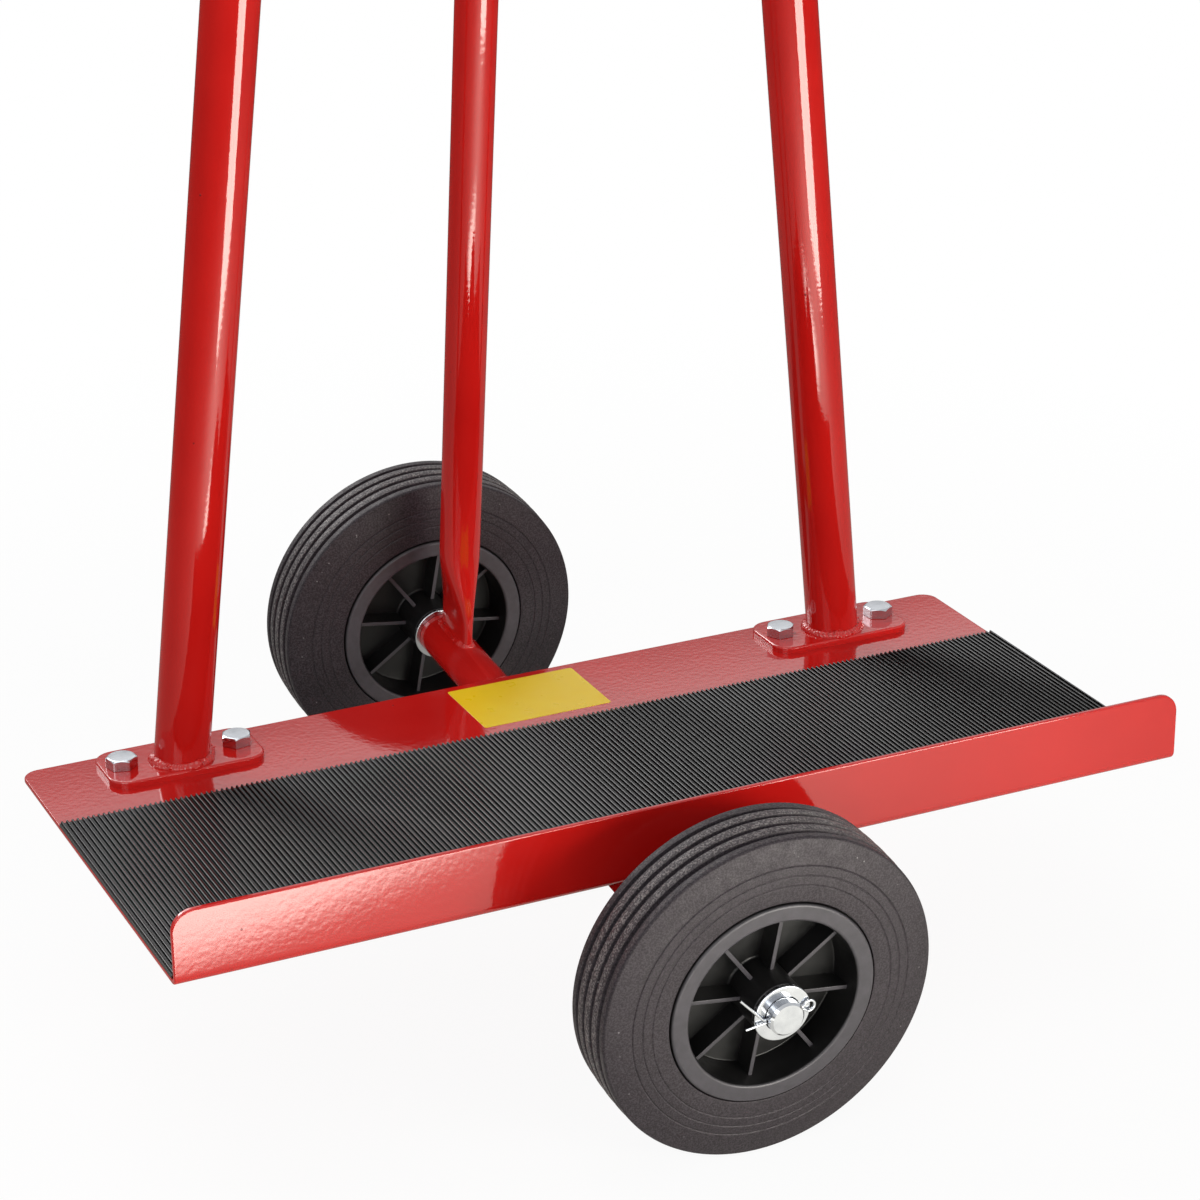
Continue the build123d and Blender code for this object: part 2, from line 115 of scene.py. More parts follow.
def gridFaces(rows, columns, closeRows, closeColumns):
    # quads over a grid of points; a closed direction joins its last line to its first
    down = np.arange(rows if closeRows else rows - 1)
    across = np.arange(columns if closeColumns else columns - 1)
    i, j = np.meshgrid(down, across, indexing="ij")
    iNext, jNext = (i + 1) % rows, (j + 1) % columns
    corners = [i * columns + j, iNext * columns + j, iNext * columns + jNext, i * columns + jNext]
    return np.stack(corners, axis=-1).reshape(-1, 4)


def gridShell(points, closeRows=False, closeColumns=True):
    # a grid of points as a list of them, with its quads
    rows, columns = points.shape[:2]
    return points.reshape(-1, 3), gridFaces(rows, columns, closeRows, closeColumns)


def sheetShell(top, bottom):
    # two grids of the same size, joined round their rims
    rows, columns = top.shape[:2]
    count = rows * columns
    index = np.arange(count).reshape(rows, columns)
    rim = np.concatenate([index[0, :-1], index[:-1, -1], index[-1, :0:-1], index[:0:-1, 0]])
    nextRim = np.roll(rim, -1)
    faces = gridFaces(rows, columns, False, False)
    side = np.stack([rim, nextRim, nextRim + count, rim + count], axis=-1)
    return (
        np.concatenate([top.reshape(-1, 3), bottom.reshape(-1, 3)]),
        np.concatenate([faces, faces + count, side]),
    )


def arcCorner(before, corner, after, radius, steps):
    # arc tangent to both sides of a corner, as points and directions: centre + radius (sine of the swing
    # along the first side - cosine of it inwards)
    into, out = unit(corner - before), unit(after - corner)
    turn = math.acos(np.clip(into @ out, -1, 1))
    if radius == 0 or turn < 1e-6:
        return corner[None], unit(into + out)[None]
    swing = np.linspace(0, turn, steps + 1)[:, None]
    inward = (out - into * math.cos(turn)) / math.sin(turn)
    centre = corner - into * radius * math.tan(turn / 2) + inward * radius
    heading = np.cos(swing) * into + np.sin(swing) * inward
    return centre + radius * (np.sin(swing) * into - np.cos(swing) * inward), heading


def roundedLoop(corners, steps):
    # closed outline through (a, b, radius) corners, each corner an arc
    corners = np.array(corners, float)
    places, radii = corners[:, :2], corners[:, 2]
    before, after = np.roll(places, 1, axis=0), np.roll(places, -1, axis=0)
    arcs = [arcCorner(b, c, a, r, steps)[0] for b, c, a, r in zip(before, places, after, radii)]
    return np.concatenate(arcs)


def turned(outline, centre, count):
    # outline of (radius, place along Y), turned a full circle about the line along Y through centre
    angle = roundAngles(count)
    radius, along = outline[:, :1], outline[:, 1:]
    points = np.stack([radius * np.cos(angle), along + 0 * angle, radius * np.sin(angle)], axis=-1)
    return gridShell(points + centre, closeRows=True)


def slabOutline(halfX, halfY, corner, inset, steps=10):
    # rectangle with round corners, drawn in by inset: the corner arcs shrink, then the corners move in
    quarter = np.linspace(0, math.pi / 2, steps)
    angle = np.concatenate([quarter + k * math.pi / 2 for k in range(4)])
    signX = np.repeat([1, -1, -1, 1], steps)
    signY = np.repeat([1, 1, -1, -1], steps)
    inset = np.asarray(inset, float)[:, None]
    radius = np.maximum(corner - inset, 0)
    middleX = np.maximum(halfX - np.maximum(corner, inset), 0)
    middleY = np.maximum(halfY - np.maximum(corner, inset), 0)
    return signX * middleX + radius * np.cos(angle), signY * middleY + radius * np.sin(angle)


def roundedSlab(middle, halfX, halfY, corner, low, high, edge):
    # flat plate on the deck: its outline carried up the side, over a round top edge and in to the middle
    turn = np.linspace(0, math.pi / 2, 6)
    flatRing = 0.8  # beside the round edge, to keep the top flat
    inset = np.concatenate([[halfY, 0], edge * (1 - np.cos(turn)), [edge + flatRing, halfY]])
    level = np.concatenate([[low, low], high - edge + edge * np.sin(turn), [high, high]])
    x, y = slabOutline(halfX, halfY, corner, inset)
    return gridShell(deckPoint(middle[0] + x, middle[1] + y, level[:, None]))


def newObject(name, data):
    # object at the origin, in the scene
    made = bpy.data.objects.new(name, data)
    bpy.context.scene.collection.objects.link(made)
    return made


def makePiece(name, shells, body, slotName, nodes=(), sharp=40, finish=None):
    # one object from one or more closed shells, at the origin, smooth apart from its sharp edges, with its
    # slot's finish unless another is given
    mergeReach, leastEdge = 2e-7, 1e-7  # metres
    counts = np.cumsum([0] + [len(points) for points, faces in shells])
    points = np.concatenate([points for points, faces in shells]) * mm
    faces = np.concatenate([faces + start for (p, faces), start in zip(shells, counts)])
    mesh = bpy.data.meshes.new(name)
    mesh.from_pydata(points, [], faces.tolist())
    work = bmesh.new()
    work.from_mesh(mesh)
    bmesh.ops.remove_doubles(work, verts=work.verts, dist=mergeReach)
    bmesh.ops.dissolve_degenerate(work, edges=work.edges, dist=leastEdge)
    bmesh.ops.recalc_face_normals(work, faces=work.faces)
    work.to_mesh(mesh)
    work.free()
    mesh.shade_smooth()
    mesh.set_sharp_from_angle(angle=math.radians(sharp))
    mesh.materials.append(finish or slotFinish[slotName])
    piece = newObject(name, mesh)
    flatter = piece.modifiers.new("flat faces stay flat", "WEIGHTED_NORMAL")
    flatter.keep_sharp = True
    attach(piece, body)
    if nodes:
        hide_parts(*nodes)
    return piece


# Finishes. In their dictionaries a noise is its scale in cells to a metre, detail and roughness; a gloss is a
# noise's scale, the roughness from and to, and detail; a bump is its strength and its depth in millimetres.
noiseSpan = (0.3, 0.7)  # where nearly all of a noise's values lie


def addNode(tree, kind, links=None, **settings):
    # node with its settings, and its inputs set or linked
    node = tree.nodes.new(kind)
    for setting, value in settings.items():
        setattr(node, setting, value)
    for socket, source in (links or {}).items():
        if isinstance(source, bpy.types.NodeSocket):
            tree.links.new(source, node.inputs[socket])
        else:
            node.inputs[socket].default_value = source
    return node


def mathOf(operation, first, second=0.0):
    # one sum on one or two numbers, in the first one's tree
    return addNode(first.id_data, "ShaderNodeMath", {0: first, 1: second}, operation=operation).outputs[0]


def vectorOf(operation, first, second=(0, 0, 0)):
    # one sum on one or two vectors; a length or a dot product is a number
    node = addNode(first.id_data, "ShaderNodeVectorMath", {0: first, 1: second}, operation=operation)
    return node.outputs["Value" if operation in ("LENGTH", "DOT_PRODUCT") else "Vector"]


def noiseOf(place, scale, detail=3.0, rough=0.5):
    links = {"Vector": place, "Scale": scale, "Detail": detail, "Roughness": rough}
    return addNode(place.id_data, "ShaderNodeTexNoise", links).outputs["Fac"]


def mapped(value, fromLow, fromHigh, toLow=0.0, toHigh=1.0):
    links = {"Value": value, "From Min": fromLow, "From Max": fromHigh, "To Min": toLow, "To Max": toHigh}
    return addNode(value.id_data, "ShaderNodeMapRange", links).outputs["Result"]


def drift(place, scale, low, high, detail=3.0, rough=0.5):
    # noise stretched from its usual span to low and high
    return mapped(noiseOf(place, scale, detail, rough), *noiseSpan, low, high)


def flecks(place, scale, edge, share, channel):
    # round flecks: 1 near a cell's middle and 0 past its edge, in the cells whose random colour is high
    links = {"Vector": place, "Scale": scale, "Randomness": 1.0}
    cells = addNode(place.id_data, "ShaderNodeTexVoronoi", links).outputs
    pick = addNode(place.id_data, "ShaderNodeSeparateColor", {"Color": cells["Color"]}).outputs[channel]
    return mathOf("MULTIPLY", mapped(cells["Distance"], *edge, 1, 0), mapped(pick, *share))


def mixColours(factor, first, second):
    # first colour where the factor is 0, second where it is 1
    links = {0: factor}
    for socket, colour in ((6, first), (7, second)):
        links[socket] = colour if isinstance(colour, bpy.types.NodeSocket) else (*colour, 1)
    return addNode(factor.id_data, "ShaderNodeMix", links, data_type="RGBA").outputs[2]


def bumped(height, strength, distance, normal=None):
    links = {"Height": height, "Strength": strength, "Distance": distance * mm}
    if normal is not None:
        links["Normal"] = normal
    return addNode(height.id_data, "ShaderNodeBump", links).outputs["Normal"]


def twoTone(place, values):
    # the finish's two colours, mixed over its tone noise
    tone = mapped(noiseOf(place, *values["tone"]), *values.get("toneSpan", noiseSpan))
    return mixColours(tone, *values["colours"])


def grainOf(place, values):
    # the finish's fine bump
    return bumped(noiseOf(place, *values["grain"]), *values["bump"])


def newFinish(name, **sockets):
    # material with one shader whose plain values are set on its own sockets, and the place it reads
    finish = bpy.data.materials.new(name)
    finish.use_nodes = True
    for socket, value in sockets.items():
        finish.node_tree.nodes["Principled BSDF"].inputs[socket].default_value = value
    return finish, addNode(finish.node_tree, "ShaderNodeTexCoord").outputs["Object"]


def dress(finish, place, values, colour, normal=None):
    # colour, drifting roughness and normals (its fine grain, unless others are given), linked to the shader
    if normal is None:
        normal = grainOf(place, values)
    gloss = drift(place, *values["gloss"])
    shader = finish.node_tree.nodes["Principled BSDF"]
    for socket, source in (("Base Color", colour), ("Roughness", gloss), ("Normal", normal)):
        finish.node_tree.links.new(source, shader.inputs[socket])
    return finish


redPaintSet = {
    "colours": ((0.50, 0.0078, 0.0062), (0.57, 0.0112, 0.0088)), "tone": (14, 2),
    "nib": (0.16, 0.004, 0.005),
    "specks": (95, (0.03, 0.075), (0.88, 0.93)),  # scale, edge and which cells
    "nibBump": (0.5, 0.12), "gloss": (60, 0.058, 0.08), "grain": (330, 1.5, 0.4),
    "bump": (0.15, 0.25),
}


def makeRedPaint(values):
    # glossy baked powder coat: faint orange peel, a slow drift of tone and a few dust nibs under the surface
    finish, place = newFinish("redPaint", IOR=1.54)
    speck = flecks(place, *values["specks"], "Red")
    colour = mixColours(speck, twoTone(place, values), values["nib"])
    return dress(finish, place, values, colour, bumped(speck, *values["nibBump"], grainOf(place, values)))


zincSet = {
    "colours": ((0.61, 0.63, 0.665), (0.50, 0.52, 0.555)), "tone": (130,),
    "stretch": (0.12, 1.0, 1.0), "gloss": (1500, 0.10, 0.17, 2), "grain": (1500, 2),
    "bump": (0.05, 0.08),
}


def makeZinc(values):
    # bright zinc plate: an even, slightly blue tone with soft clouds and fine parallel turning marks
    finish, place = newFinish("brightZinc", Metallic=1.0)
    links = {"Vector": place, "Scale": values["stretch"]}
    drawn = addNode(finish.node_tree, "ShaderNodeMapping", links).outputs[0]
    return dress(finish, drawn, values, twoTone(place, values))


def makePlain(name, values, ior):
    # two tones over noise, with drifting roughness and a fine bump
    finish, place = newFinish(name, IOR=ior)
    return dress(finish, place, values, twoTone(place, values))


# Black extruded rubber: silky, with a little grey bloom and fine grain
matRubberSet = {
    "colours": ((0.0012, 0.0011, 0.0012), (0.0035, 0.0032, 0.0035)), "tone": (45, 4, 0.6),
    "toneSpan": (0.35, 0.75), "gloss": (240, 0.15, 0.22), "grain": (1500, 2), "bump": (0.07, 0.1),
}


tyreRubberSet = {
    "colours": ((0.0145, 0.0108, 0.0135), (0.042, 0.0335, 0.0405)), "tone": (1000, 3, 0.65),
    "toneSpan": (0.42, 0.60),
    "worn": (0.22, 0.202, 0.198),  # on the tread's crests
    "wornFrom": (0.0966, 0.0973),  # metres from the axle's line
    "rub": (820, 2, 0.6),
    "rubSpan": (0.48, 0.62, 0.12),  # from, to, and the least wear
    "dust": (0.20, 0.185, 0.19),
    "grit": (330, (0.08, 0.2), (0.93, 0.97)),  # scale, edge and which cells
    "gloss": (160, 0.48, 0.64), "grain": (900, 4, 0.7), "bump": (0.35, 0.25),
}


def makeTyreRubber(values):
    # solid tyre rubber: dull, with a fine pitted grain, pale dust specks and grey grit worn into
    # the tread's crests
    finish, place = newFinish("tyreRubber", IOR=1.33)
    fromAxle = vectorOf("SUBTRACT", place, (0, 0, axleHeight * mm))
    radius = vectorOf("LENGTH", vectorOf("MULTIPLY", fromAxle, (1, 0, 1)))
    rub = mapped(noiseOf(place, *values["rub"]), *values["rubSpan"])
    wear = mathOf("MULTIPLY", mapped(radius, *values["wornFrom"]), rub)
    worn = mixColours(wear, twoTone(place, values), values["worn"])
    grit = flecks(place, *values["grit"], "Green")
    return dress(finish, place, values, mixColours(grit, worn, values["dust"]))


rimPlasticSet = {
    "colours": ((0.0065, 0.0062, 0.0065), (0.067, 0.061, 0.071)),  # near black deep in the dish as painted shade, and dusty grey near the mouth
    "middle": 0.2302,  # of a wheel, in metres from the middle of the axle
    "reach": (0.0136, 0.0150),  # metres from a wheel's middle, where the dish's painted shade gives way to handling marks and dust
    "facing": (0.35, 0.9),  # how squarely a face looks along the axle, from dark painted shade to dusty
    "flow": (160, 0.7, 1.0, 4, 0.6), "gloss": (210, 0.34, 0.46), "grain": (1300, 2),
    "bump": (0.18, 0.12),
}


def makeRimPlastic(values):
    # moulded black plastic with fine grain; faces that look outwards near the rim's mouth are greyed by dust,
    # while the recessed dish is painted near black as shade
    finish, place = newFinish("rimPlastic", IOR=1.42)
    across = addNode(finish.node_tree, "ShaderNodeSeparateXYZ", {0: place}).outputs["Y"]
    outward = addNode(finish.node_tree, "ShaderNodeAttribute", attribute_name="outward").outputs["Fac"]
    offMiddle = mathOf("ABSOLUTE", mathOf("SUBTRACT", mathOf("ABSOLUTE", across), values["middle"]))
    outsideRecessShade = mathOf("MULTIPLY", mapped(offMiddle, *values["reach"]), mapped(outward, *values["facing"]))
    # amount of dust; where it is low, the dish keeps its painted shade
    dust = mathOf("MULTIPLY", outsideRecessShade, drift(place, *values["flow"]))
    return dress(finish, place, values, mixColours(dust, *values["colours"]))


def markOutward(piece):
    # for each face, how squarely it looks along the axle: the size of its normal's y
    mesh = piece.data
    normals = np.empty(len(mesh.polygons) * 3, np.float32)
    mesh.polygons.foreach_get("normal", normals)
    marks = mesh.attributes.new("outward", "FLOAT", "FACE")
    marks.data.foreach_set("value", np.abs(normals[1::3]))


# Plain yellow film with a satin face and slight waves from being rubbed on by hand
stickerSet = {
    "colours": ((0.84, 0.57, 0.004), (0.86, 0.62, 0.012)), "tone": (30, 2),
    "gloss": (90, 0.26, 0.36, 2), "grain": (50, 1), "bump": (0.1, 0.4),
    "middle": (3.0, 240.8),  # on the deck
    "half": (41.0, 28.8), "corner": 1.5, "thickness": 0.16, "edge": 0.08,
}


slotFinish = {
    "red_paint": makeRedPaint(redPaintSet),
    "zinc_plate": makeZinc(zincSet),
    "mat_rubber": makePlain("matRubber", matRubberSet, 1.3),
    "tyre_rubber": makeTyreRubber(tyreRubberSet),
    "rim_plastic": makeRimPlastic(rimPlasticSet),
}
yellowFilm = makePlain("yellowFilm", stickerSet, 1.35)
for node in frame["nodes"].values():
    for place in node.material_slots:
        place.material = slotFinish[place.material.name.split(".")[0]]
print("finishes made")


def redPiece(name, shells, nodes=(), sharp=50):
    # painted piece of the chassis
    makePiece(name, shells, "chassis", "red_paint", nodes, sharp)


# Platform: one sheet with a fold, its edges rounded by the paint
platformSet = {
    "halfLength": 300.0,
    "lipTop": 39.0,  # above the deck
    "foldInside": 2.0, "rearCorner": 10.0, "lipCorner": 12.0, "edge": 0.9, "edgeRows": 7,
    "cornerRows": 13,
    "crowding": 1.4,  # power that draws a corner's rows towards the edge
    "foldRows": 11,
    "beside": 2.0,  # from a corner or the fold to the next row
    "endColumns": (1.6, 3.0, 6.0, 12.0),  # from the sheet's ends
    "middleColumns": (-0.6, -0.2, 0.2, 0.6),  # shares of the rest
}


def unrolled(values):
    # lengths along the sheet laid flat: the deck, the fold along the sheet's middle, and the whole
    inside, sheet = values["foldInside"], deckSet["sheet"]
    flat = deckSet["depth"] - sheet - inside
    bend = (inside + sheet / 2) * math.pi / 2
    return flat, bend, flat + bend + values["lipTop"] - inside


def bentSheet(along, depth, values):
    # a point at a run along the unrolled sheet and a depth below its inner face:
    # flat deck from the rear edge, a quarter turn about the fold's centre, then straight up the lip
    inside = values["foldInside"]
    flat, bend, whole = unrolled(values)
    angle = np.clip((along - flat) / bend, 0, 1) * math.pi / 2
    lift = np.maximum(along - flat - bend, 0)
    y = deckSet["depth"] - np.minimum(along, flat) - (inside + depth) * np.sin(angle)
    z = inside - (inside + depth) * np.cos(angle) + lift
    return y, z


def makePlatform(values):
    # grid over the unrolled sheet; both faces draw together near the outline in a quarter circle
    half, edge, sheet = values["halfLength"], values["edge"], deckSet["sheet"]
    rear, top, beside = values["rearCorner"], values["lipCorner"], values["beside"]
    flat, bend, whole = unrolled(values)
    roundEdge = edge * (1 - np.cos(np.linspace(0, math.pi / 2, values["edgeRows"])))
    toCorner = np.linspace(0, 1, values["cornerRows"] + 1)[1:] ** values["crowding"]
    along = np.concatenate([
        roundEdge,
        edge + (rear - edge) * toCorner,
        [rear + beside, flat / 2, flat - beside],
        np.linspace(flat, flat + bend, values["foldRows"]),
        [flat + bend + beside],
        whole - (edge + (top - edge) * toCorner)[::-1],
        whole - roundEdge[::-1],
    ])
    rearReach = half - rear + np.sqrt(np.maximum(rear**2 - np.maximum(rear - along, 0) ** 2, 0))
    topReach = half - top + np.sqrt(np.maximum(top**2 - np.maximum(along - whole + top, 0) ** 2, 0))
    reach = np.minimum(rearReach, topReach)[:, None]
    fromEnd = np.concatenate([roundEdge, values["endColumns"]])
    middle = np.array(values["middleColumns"]) * (reach - fromEnd[-1])
    x = np.concatenate([-reach + fromEnd, middle, reach - fromEnd[::-1]], axis=1)
    s = along[:, None] + 0 * x
    away = np.minimum(np.minimum(s, whole - s), half - np.abs(x))
    rearAway = rear - np.hypot(rear - s, np.abs(x) - half + rear)
    topAway = top - np.hypot(s - whole + top, np.abs(x) - half + top)
    away = np.where((s < rear) & (np.abs(x) > half - rear), rearAway, away)
    away = np.where((s > whole - top) & (np.abs(x) > half - top), topAway, away)
    draw = edge - np.sqrt(np.maximum(edge**2 - (edge - np.clip(away, 0, edge)) ** 2, 0))
    upper = deckPoint(x, *bentSheet(s, draw, values))
    lower = deckPoint(x, *bentSheet(s, sheet - draw, values))
    redPiece("folded_platform", [sheetShell(upper, lower)], ["platform"])


makePlatform(platformSet)
print("platform made")

# Ribbed mat
matSet = {
    "halfLength": 300.0, "front": 5.0, "rear": 198.5, "base": 1.6, "pitch": 3.0, "ribs": 200,
    "height": 1.4, "footHalf": 0.86, "crownHalf": 0.52,
    "crownTilt": math.radians(58),  # of the crown's edges, where the steep sides begin
    "crownRows": 7,
    "uneven": 0.05,  # share of its height that a rib may lack
    "wander": 0.06,  # how far a rib strays sideways
    "wanderRun": 62.0,
    "wanderTurn": 2.4,  # from rib to rib
    "unevenTurns": (12.9898, 4.137),
    "plainEnd": 2.0,  # kept straight at either end of the mat
}


def makeMat(values):
    # a rib's crown is an arc, height - radius (1 - cosine), over steep straight sides; the outline is
    # repeated along x and carried front to rear, with each rib a little uneven
    half, ribs = values["halfLength"], values["ribs"]
    tilt = np.linspace(0, values["crownTilt"], values["crownRows"])
    radius = values["crownHalf"] / math.sin(values["crownTilt"])
    reach = np.append(radius * np.sin(tilt), values["footHalf"])
    rise = np.append(values["height"] - radius * (1 - np.cos(tilt)), 0.0)
    across = np.concatenate([[-values["pitch"] / 2], -reach[:0:-1], reach])
    rise = np.concatenate([[0], rise[:0:-1], rise])
    rib = np.arange(ribs)
    middle = (rib - (ribs - 1) / 2) * values["pitch"]
    first, second = values["unevenTurns"]
    uneven = 1 - values["uneven"] * (0.5 + 0.5 * np.sin(rib * first) * np.cos(rib * second))
    x = np.append((middle[:, None] + across).ravel(), half)
    high = np.append((uneven[:, None] * rise).ravel(), 0)
    ribOf = np.append(np.repeat(rib, len(across)), ribs - 1)
    y = np.linspace(values["front"], values["rear"], 4)[:, None]
    stray = values["wander"] * np.sin(y / values["wanderRun"] + ribOf * values["wanderTurn"])
    inside = np.abs(x) < half - values["plainEnd"]
    top = deckPoint(x + stray * inside, y, values["base"] + high + 0 * y)
    bottom = deckPoint(x + 0 * y, y, 0.0)
    shell = sheetShell(top, bottom)
    makePiece("ribbed_mat", [shell], "chassis", "mat_rubber", ["rubber_mat"], sharp=50)


makeMat(matSet)
print("mat made")

# Frame: one tube bent into an upside-down U
frameSet = {
    "radius": 16.0, "wall": 2.0, "lean": math.radians(2.6), "bend": 60.0,
    "legDepth": 246.5,  # along the deck
    "legSpread": 425.6, "barSpread": 223.5, "flange": 4.0, "around": 96, "bendRows": 28,
    "legRows": (0.0, 0.02, 0.35, 0.7),  # shares of a straight leg
}
frameFoot = deckPoint(0.0, frameSet["legDepth"], frameSet["flange"])
frameUp = np.array([0.0, math.sin(frameSet["lean"]), math.cos(frameSet["lean"])])
frameBack = np.array([0.0, math.cos(frameSet["lean"]), -math.sin(frameSet["lean"])])
frameRise = (nodeBox("frame_tube")[1][2] - frameSet["radius"] - frameFoot[2]) / frameUp[2]


def onFlange(points, heading):
    # slides points along a leg until they lie on the flanges' top
    short = (frameFoot - points) @ deckNormal
    return points + heading * (short / (heading @ deckNormal))[..., None]


def makeFrame(values):
    # circle carried along straight legs, two arcs and the top bar; outside and bore joined at the feet
    leg, bar = values["legSpread"] / 2, values["barSpread"] / 2
    corners = np.array([(-leg, 0.0), (-bar, frameRise), (bar, frameRise), (leg, 0.0)])
    arcs = [arcCorner(*corners[k : k + 3], values["bend"], values["bendRows"]) for k in (0, 1)]
    (upArc, upTurn), (downArc, downTurn) = arcs
    legRows = np.array(values["legRows"])[:, None]
    upRun = corners[0] + legRows * (upArc[0] - corners[0])
    downRun = corners[3] + legRows[::-1] * (downArc[-1] - corners[3])
    path = np.concatenate([upRun, upArc, downArc, downRun])
    upLeg, downLeg = unit(corners[1] - corners[0]), unit(corners[3] - corners[2])
    heading = np.concatenate([upLeg + 0 * upRun, upTurn, downTurn, downLeg + 0 * downRun])
    toSpace = np.stack([lipAxis, frameUp])
    centre, along = frameFoot + path @ toSpace, heading @ toSpace
    aside = np.cross(along, frameBack)
    angle = roundAngles(values["around"])[:, None]

    def wallOf(radius):
        circle = np.cos(angle) * aside[:, None] + np.sin(angle) * frameBack
        points = centre[:, None] + radius * circle
        points[0] = onFlange(points[0], along[0])
        points[-1] = onFlange(points[-1], along[-1])
        return points

    outside, bore = wallOf(values["radius"]), wallOf(values["radius"] - values["wall"])
    shell = gridShell(np.concatenate([outside, bore[::-1]]), closeRows=True)
    redPiece("bent_frame", [shell], ["frame_tube"])


makeFrame(frameSet)
print("frame made")

# Flanges with their welds
weldSet = {
    "rows": 16,
    "ripple": 0.15,  # share of the bead's size
    "sway": ((0.05, 3, 1.0), (0.03, 7, 2.3)),  # of the ripples: each wave's height, count and shift
    "swell": ((0.10, 4, 1.0), (0.07, 9, 2.0)),  # of the bead
    "drops": 46,
    "dropLevel": (0.5, 1.4),  # up the bead, in radians of its section
    "dropTall": 0.22, "dropSwell": (-0.3, 0.45),
    "dropWidth": (0.02, 0.055),  # along the run, in radians
    "flatness": 1.25,  # power of the section's cosine and sine
    "sunk": 0.6,  # into the plate
    "inside": 0.8,  # into the tube
}
flangeSet = {
    "halfLength": 46.5, "halfWidth": 23.0, "corner": 12.0, "thickness": 4.0, "edge": 1.3,
    "depth": 250.0,
    "boltReach": 34.6,  # from the flange's middle
    "weld": (3.4, 44, 1.7),  # size, ripples round it and seed
    "around": 480,
}


def weldRing(base, outward, upward, size, ripples, seed, drop=None, values=weldSet):
    # low bead round a joint: a flat quarter section from the toe on the plate to the toe on the tube, its
    # size swelling slowly and rippled a little along the run, with round drops scattered over it
    run = roundAngles(len(base))[:, None]
    turn = np.linspace(0, math.pi / 2, values["rows"])

    def waves(start, rows):
        for height, count, shift in rows:
            start = start + height * np.sin(count * run + shift * seed)
        return start

    uneven, slow = waves(run, values["sway"]), waves(0, values["swell"])
    ripple = np.abs(np.sin(ripples / 2 * uneven + 0.9 * np.sin(2 * turn))) ** 0.6 - 0.6
    scatter = np.random.default_rng(int(10 * seed))
    places = scatter.uniform(0, 2 * math.pi, values["drops"])
    levels, swells, widths = (
        scatter.uniform(*values[key], values["drops"]) for key in ("dropLevel", "dropSwell", "dropWidth")
    )
    gap = np.abs((run[..., None] - places + math.pi) % (2 * math.pi) - math.pi)
    away = (gap / widths) ** 2 + ((turn[:, None] - levels) / values["dropTall"]) ** 2
    lump = np.sum(swells * np.exp(-away), axis=-1)
    grow = 1 + slow + (values["ripple"] * ripple + lump) * np.sin(2 * turn)
    out = size * grow * np.cos(turn) ** values["flatness"]
    up = size * grow * np.sin(turn) ** values["flatness"]
    bead = base[:, None] + out[..., None] * outward[:, None] + up[..., None] * upward[:, None]
    inner, sunk = base - outward * values["inside"], upward * values["sunk"]
    ring = np.concatenate([
        (base + outward * out[:, :1] - sunk)[:, None],
        bead,
        (inner + upward * up[:, -1:])[:, None],
        (inner - sunk)[:, None],
    ], axis=1)
    if drop is not None:
        ring[..., 2] += drop(ring)
    return gridShell(ring, closeRows=True)


def makeFlange(name, side, values):
    # plate with round corners on the deck, and a bead on the line where the leaning leg meets its top
    middle = side * frameSet["legSpread"] / 2
    lean = frameUp * frameRise + side * (frameSet["barSpread"] - frameSet["legSpread"]) / 2 * lipAxis
    lean = unit(lean)
    across = np.cross(frameBack, lean)
    angle = roundAngles(values["around"])[:, None]
    circle = np.cos(angle) * unit(across) + np.sin(angle) * np.cross(lean, across)
    base = onFlange(frameFoot + middle * lipAxis + frameSet["radius"] * circle, lean)
    outward = unit(circle - (circle @ deckNormal)[:, None] * deckNormal)
    plate = roundedSlab(
        (middle, values["depth"]), values["halfLength"], values["halfWidth"], values["corner"],
        0.0, values["thickness"], values["edge"],
    )
    size, ripples, seed = values["weld"]
    bead = weldRing(base, outward, lean + 0 * base, size, ripples, seed + side)
    redPiece(f"welded_flange_{name}", [plate, bead], [f"flange_{name}"], sharp=60)


for flangeName, flangeSide in (("left", -1), ("right", 1)):
    makeFlange(flangeName, flangeSide, flangeSet)
print("flanges made")

# Hexagon bolts through the flanges
boltSet = {
    "halfFlats": 8.0,
    "cornerPower": 70,  # the higher, the sharper the hexagon's corners
    "chamferRadius": 7.6, "chamferSlope": math.tan(math.radians(30)), "head": 6.4, "shank": 5.0,
    "length": 20.0,  # below the head
    "endChamfer": 1.0,
    "topEdge": ((-0.5, 0.0), (-0.12, -0.02), (0.12, -0.09)),  # out from the chamfer's circle, up
    "sideEdge": ((-0.18, 0.06), (0.0, -0.16)),  # out from the flats, up from the chamfer
    "footEdge": ((0.0, 0.3), (-0.25, 0.0)),
    "turns": (0.21, -0.35, 0.52, 0.06),  # how each head came to rest, in radians
    "around": 144,
}


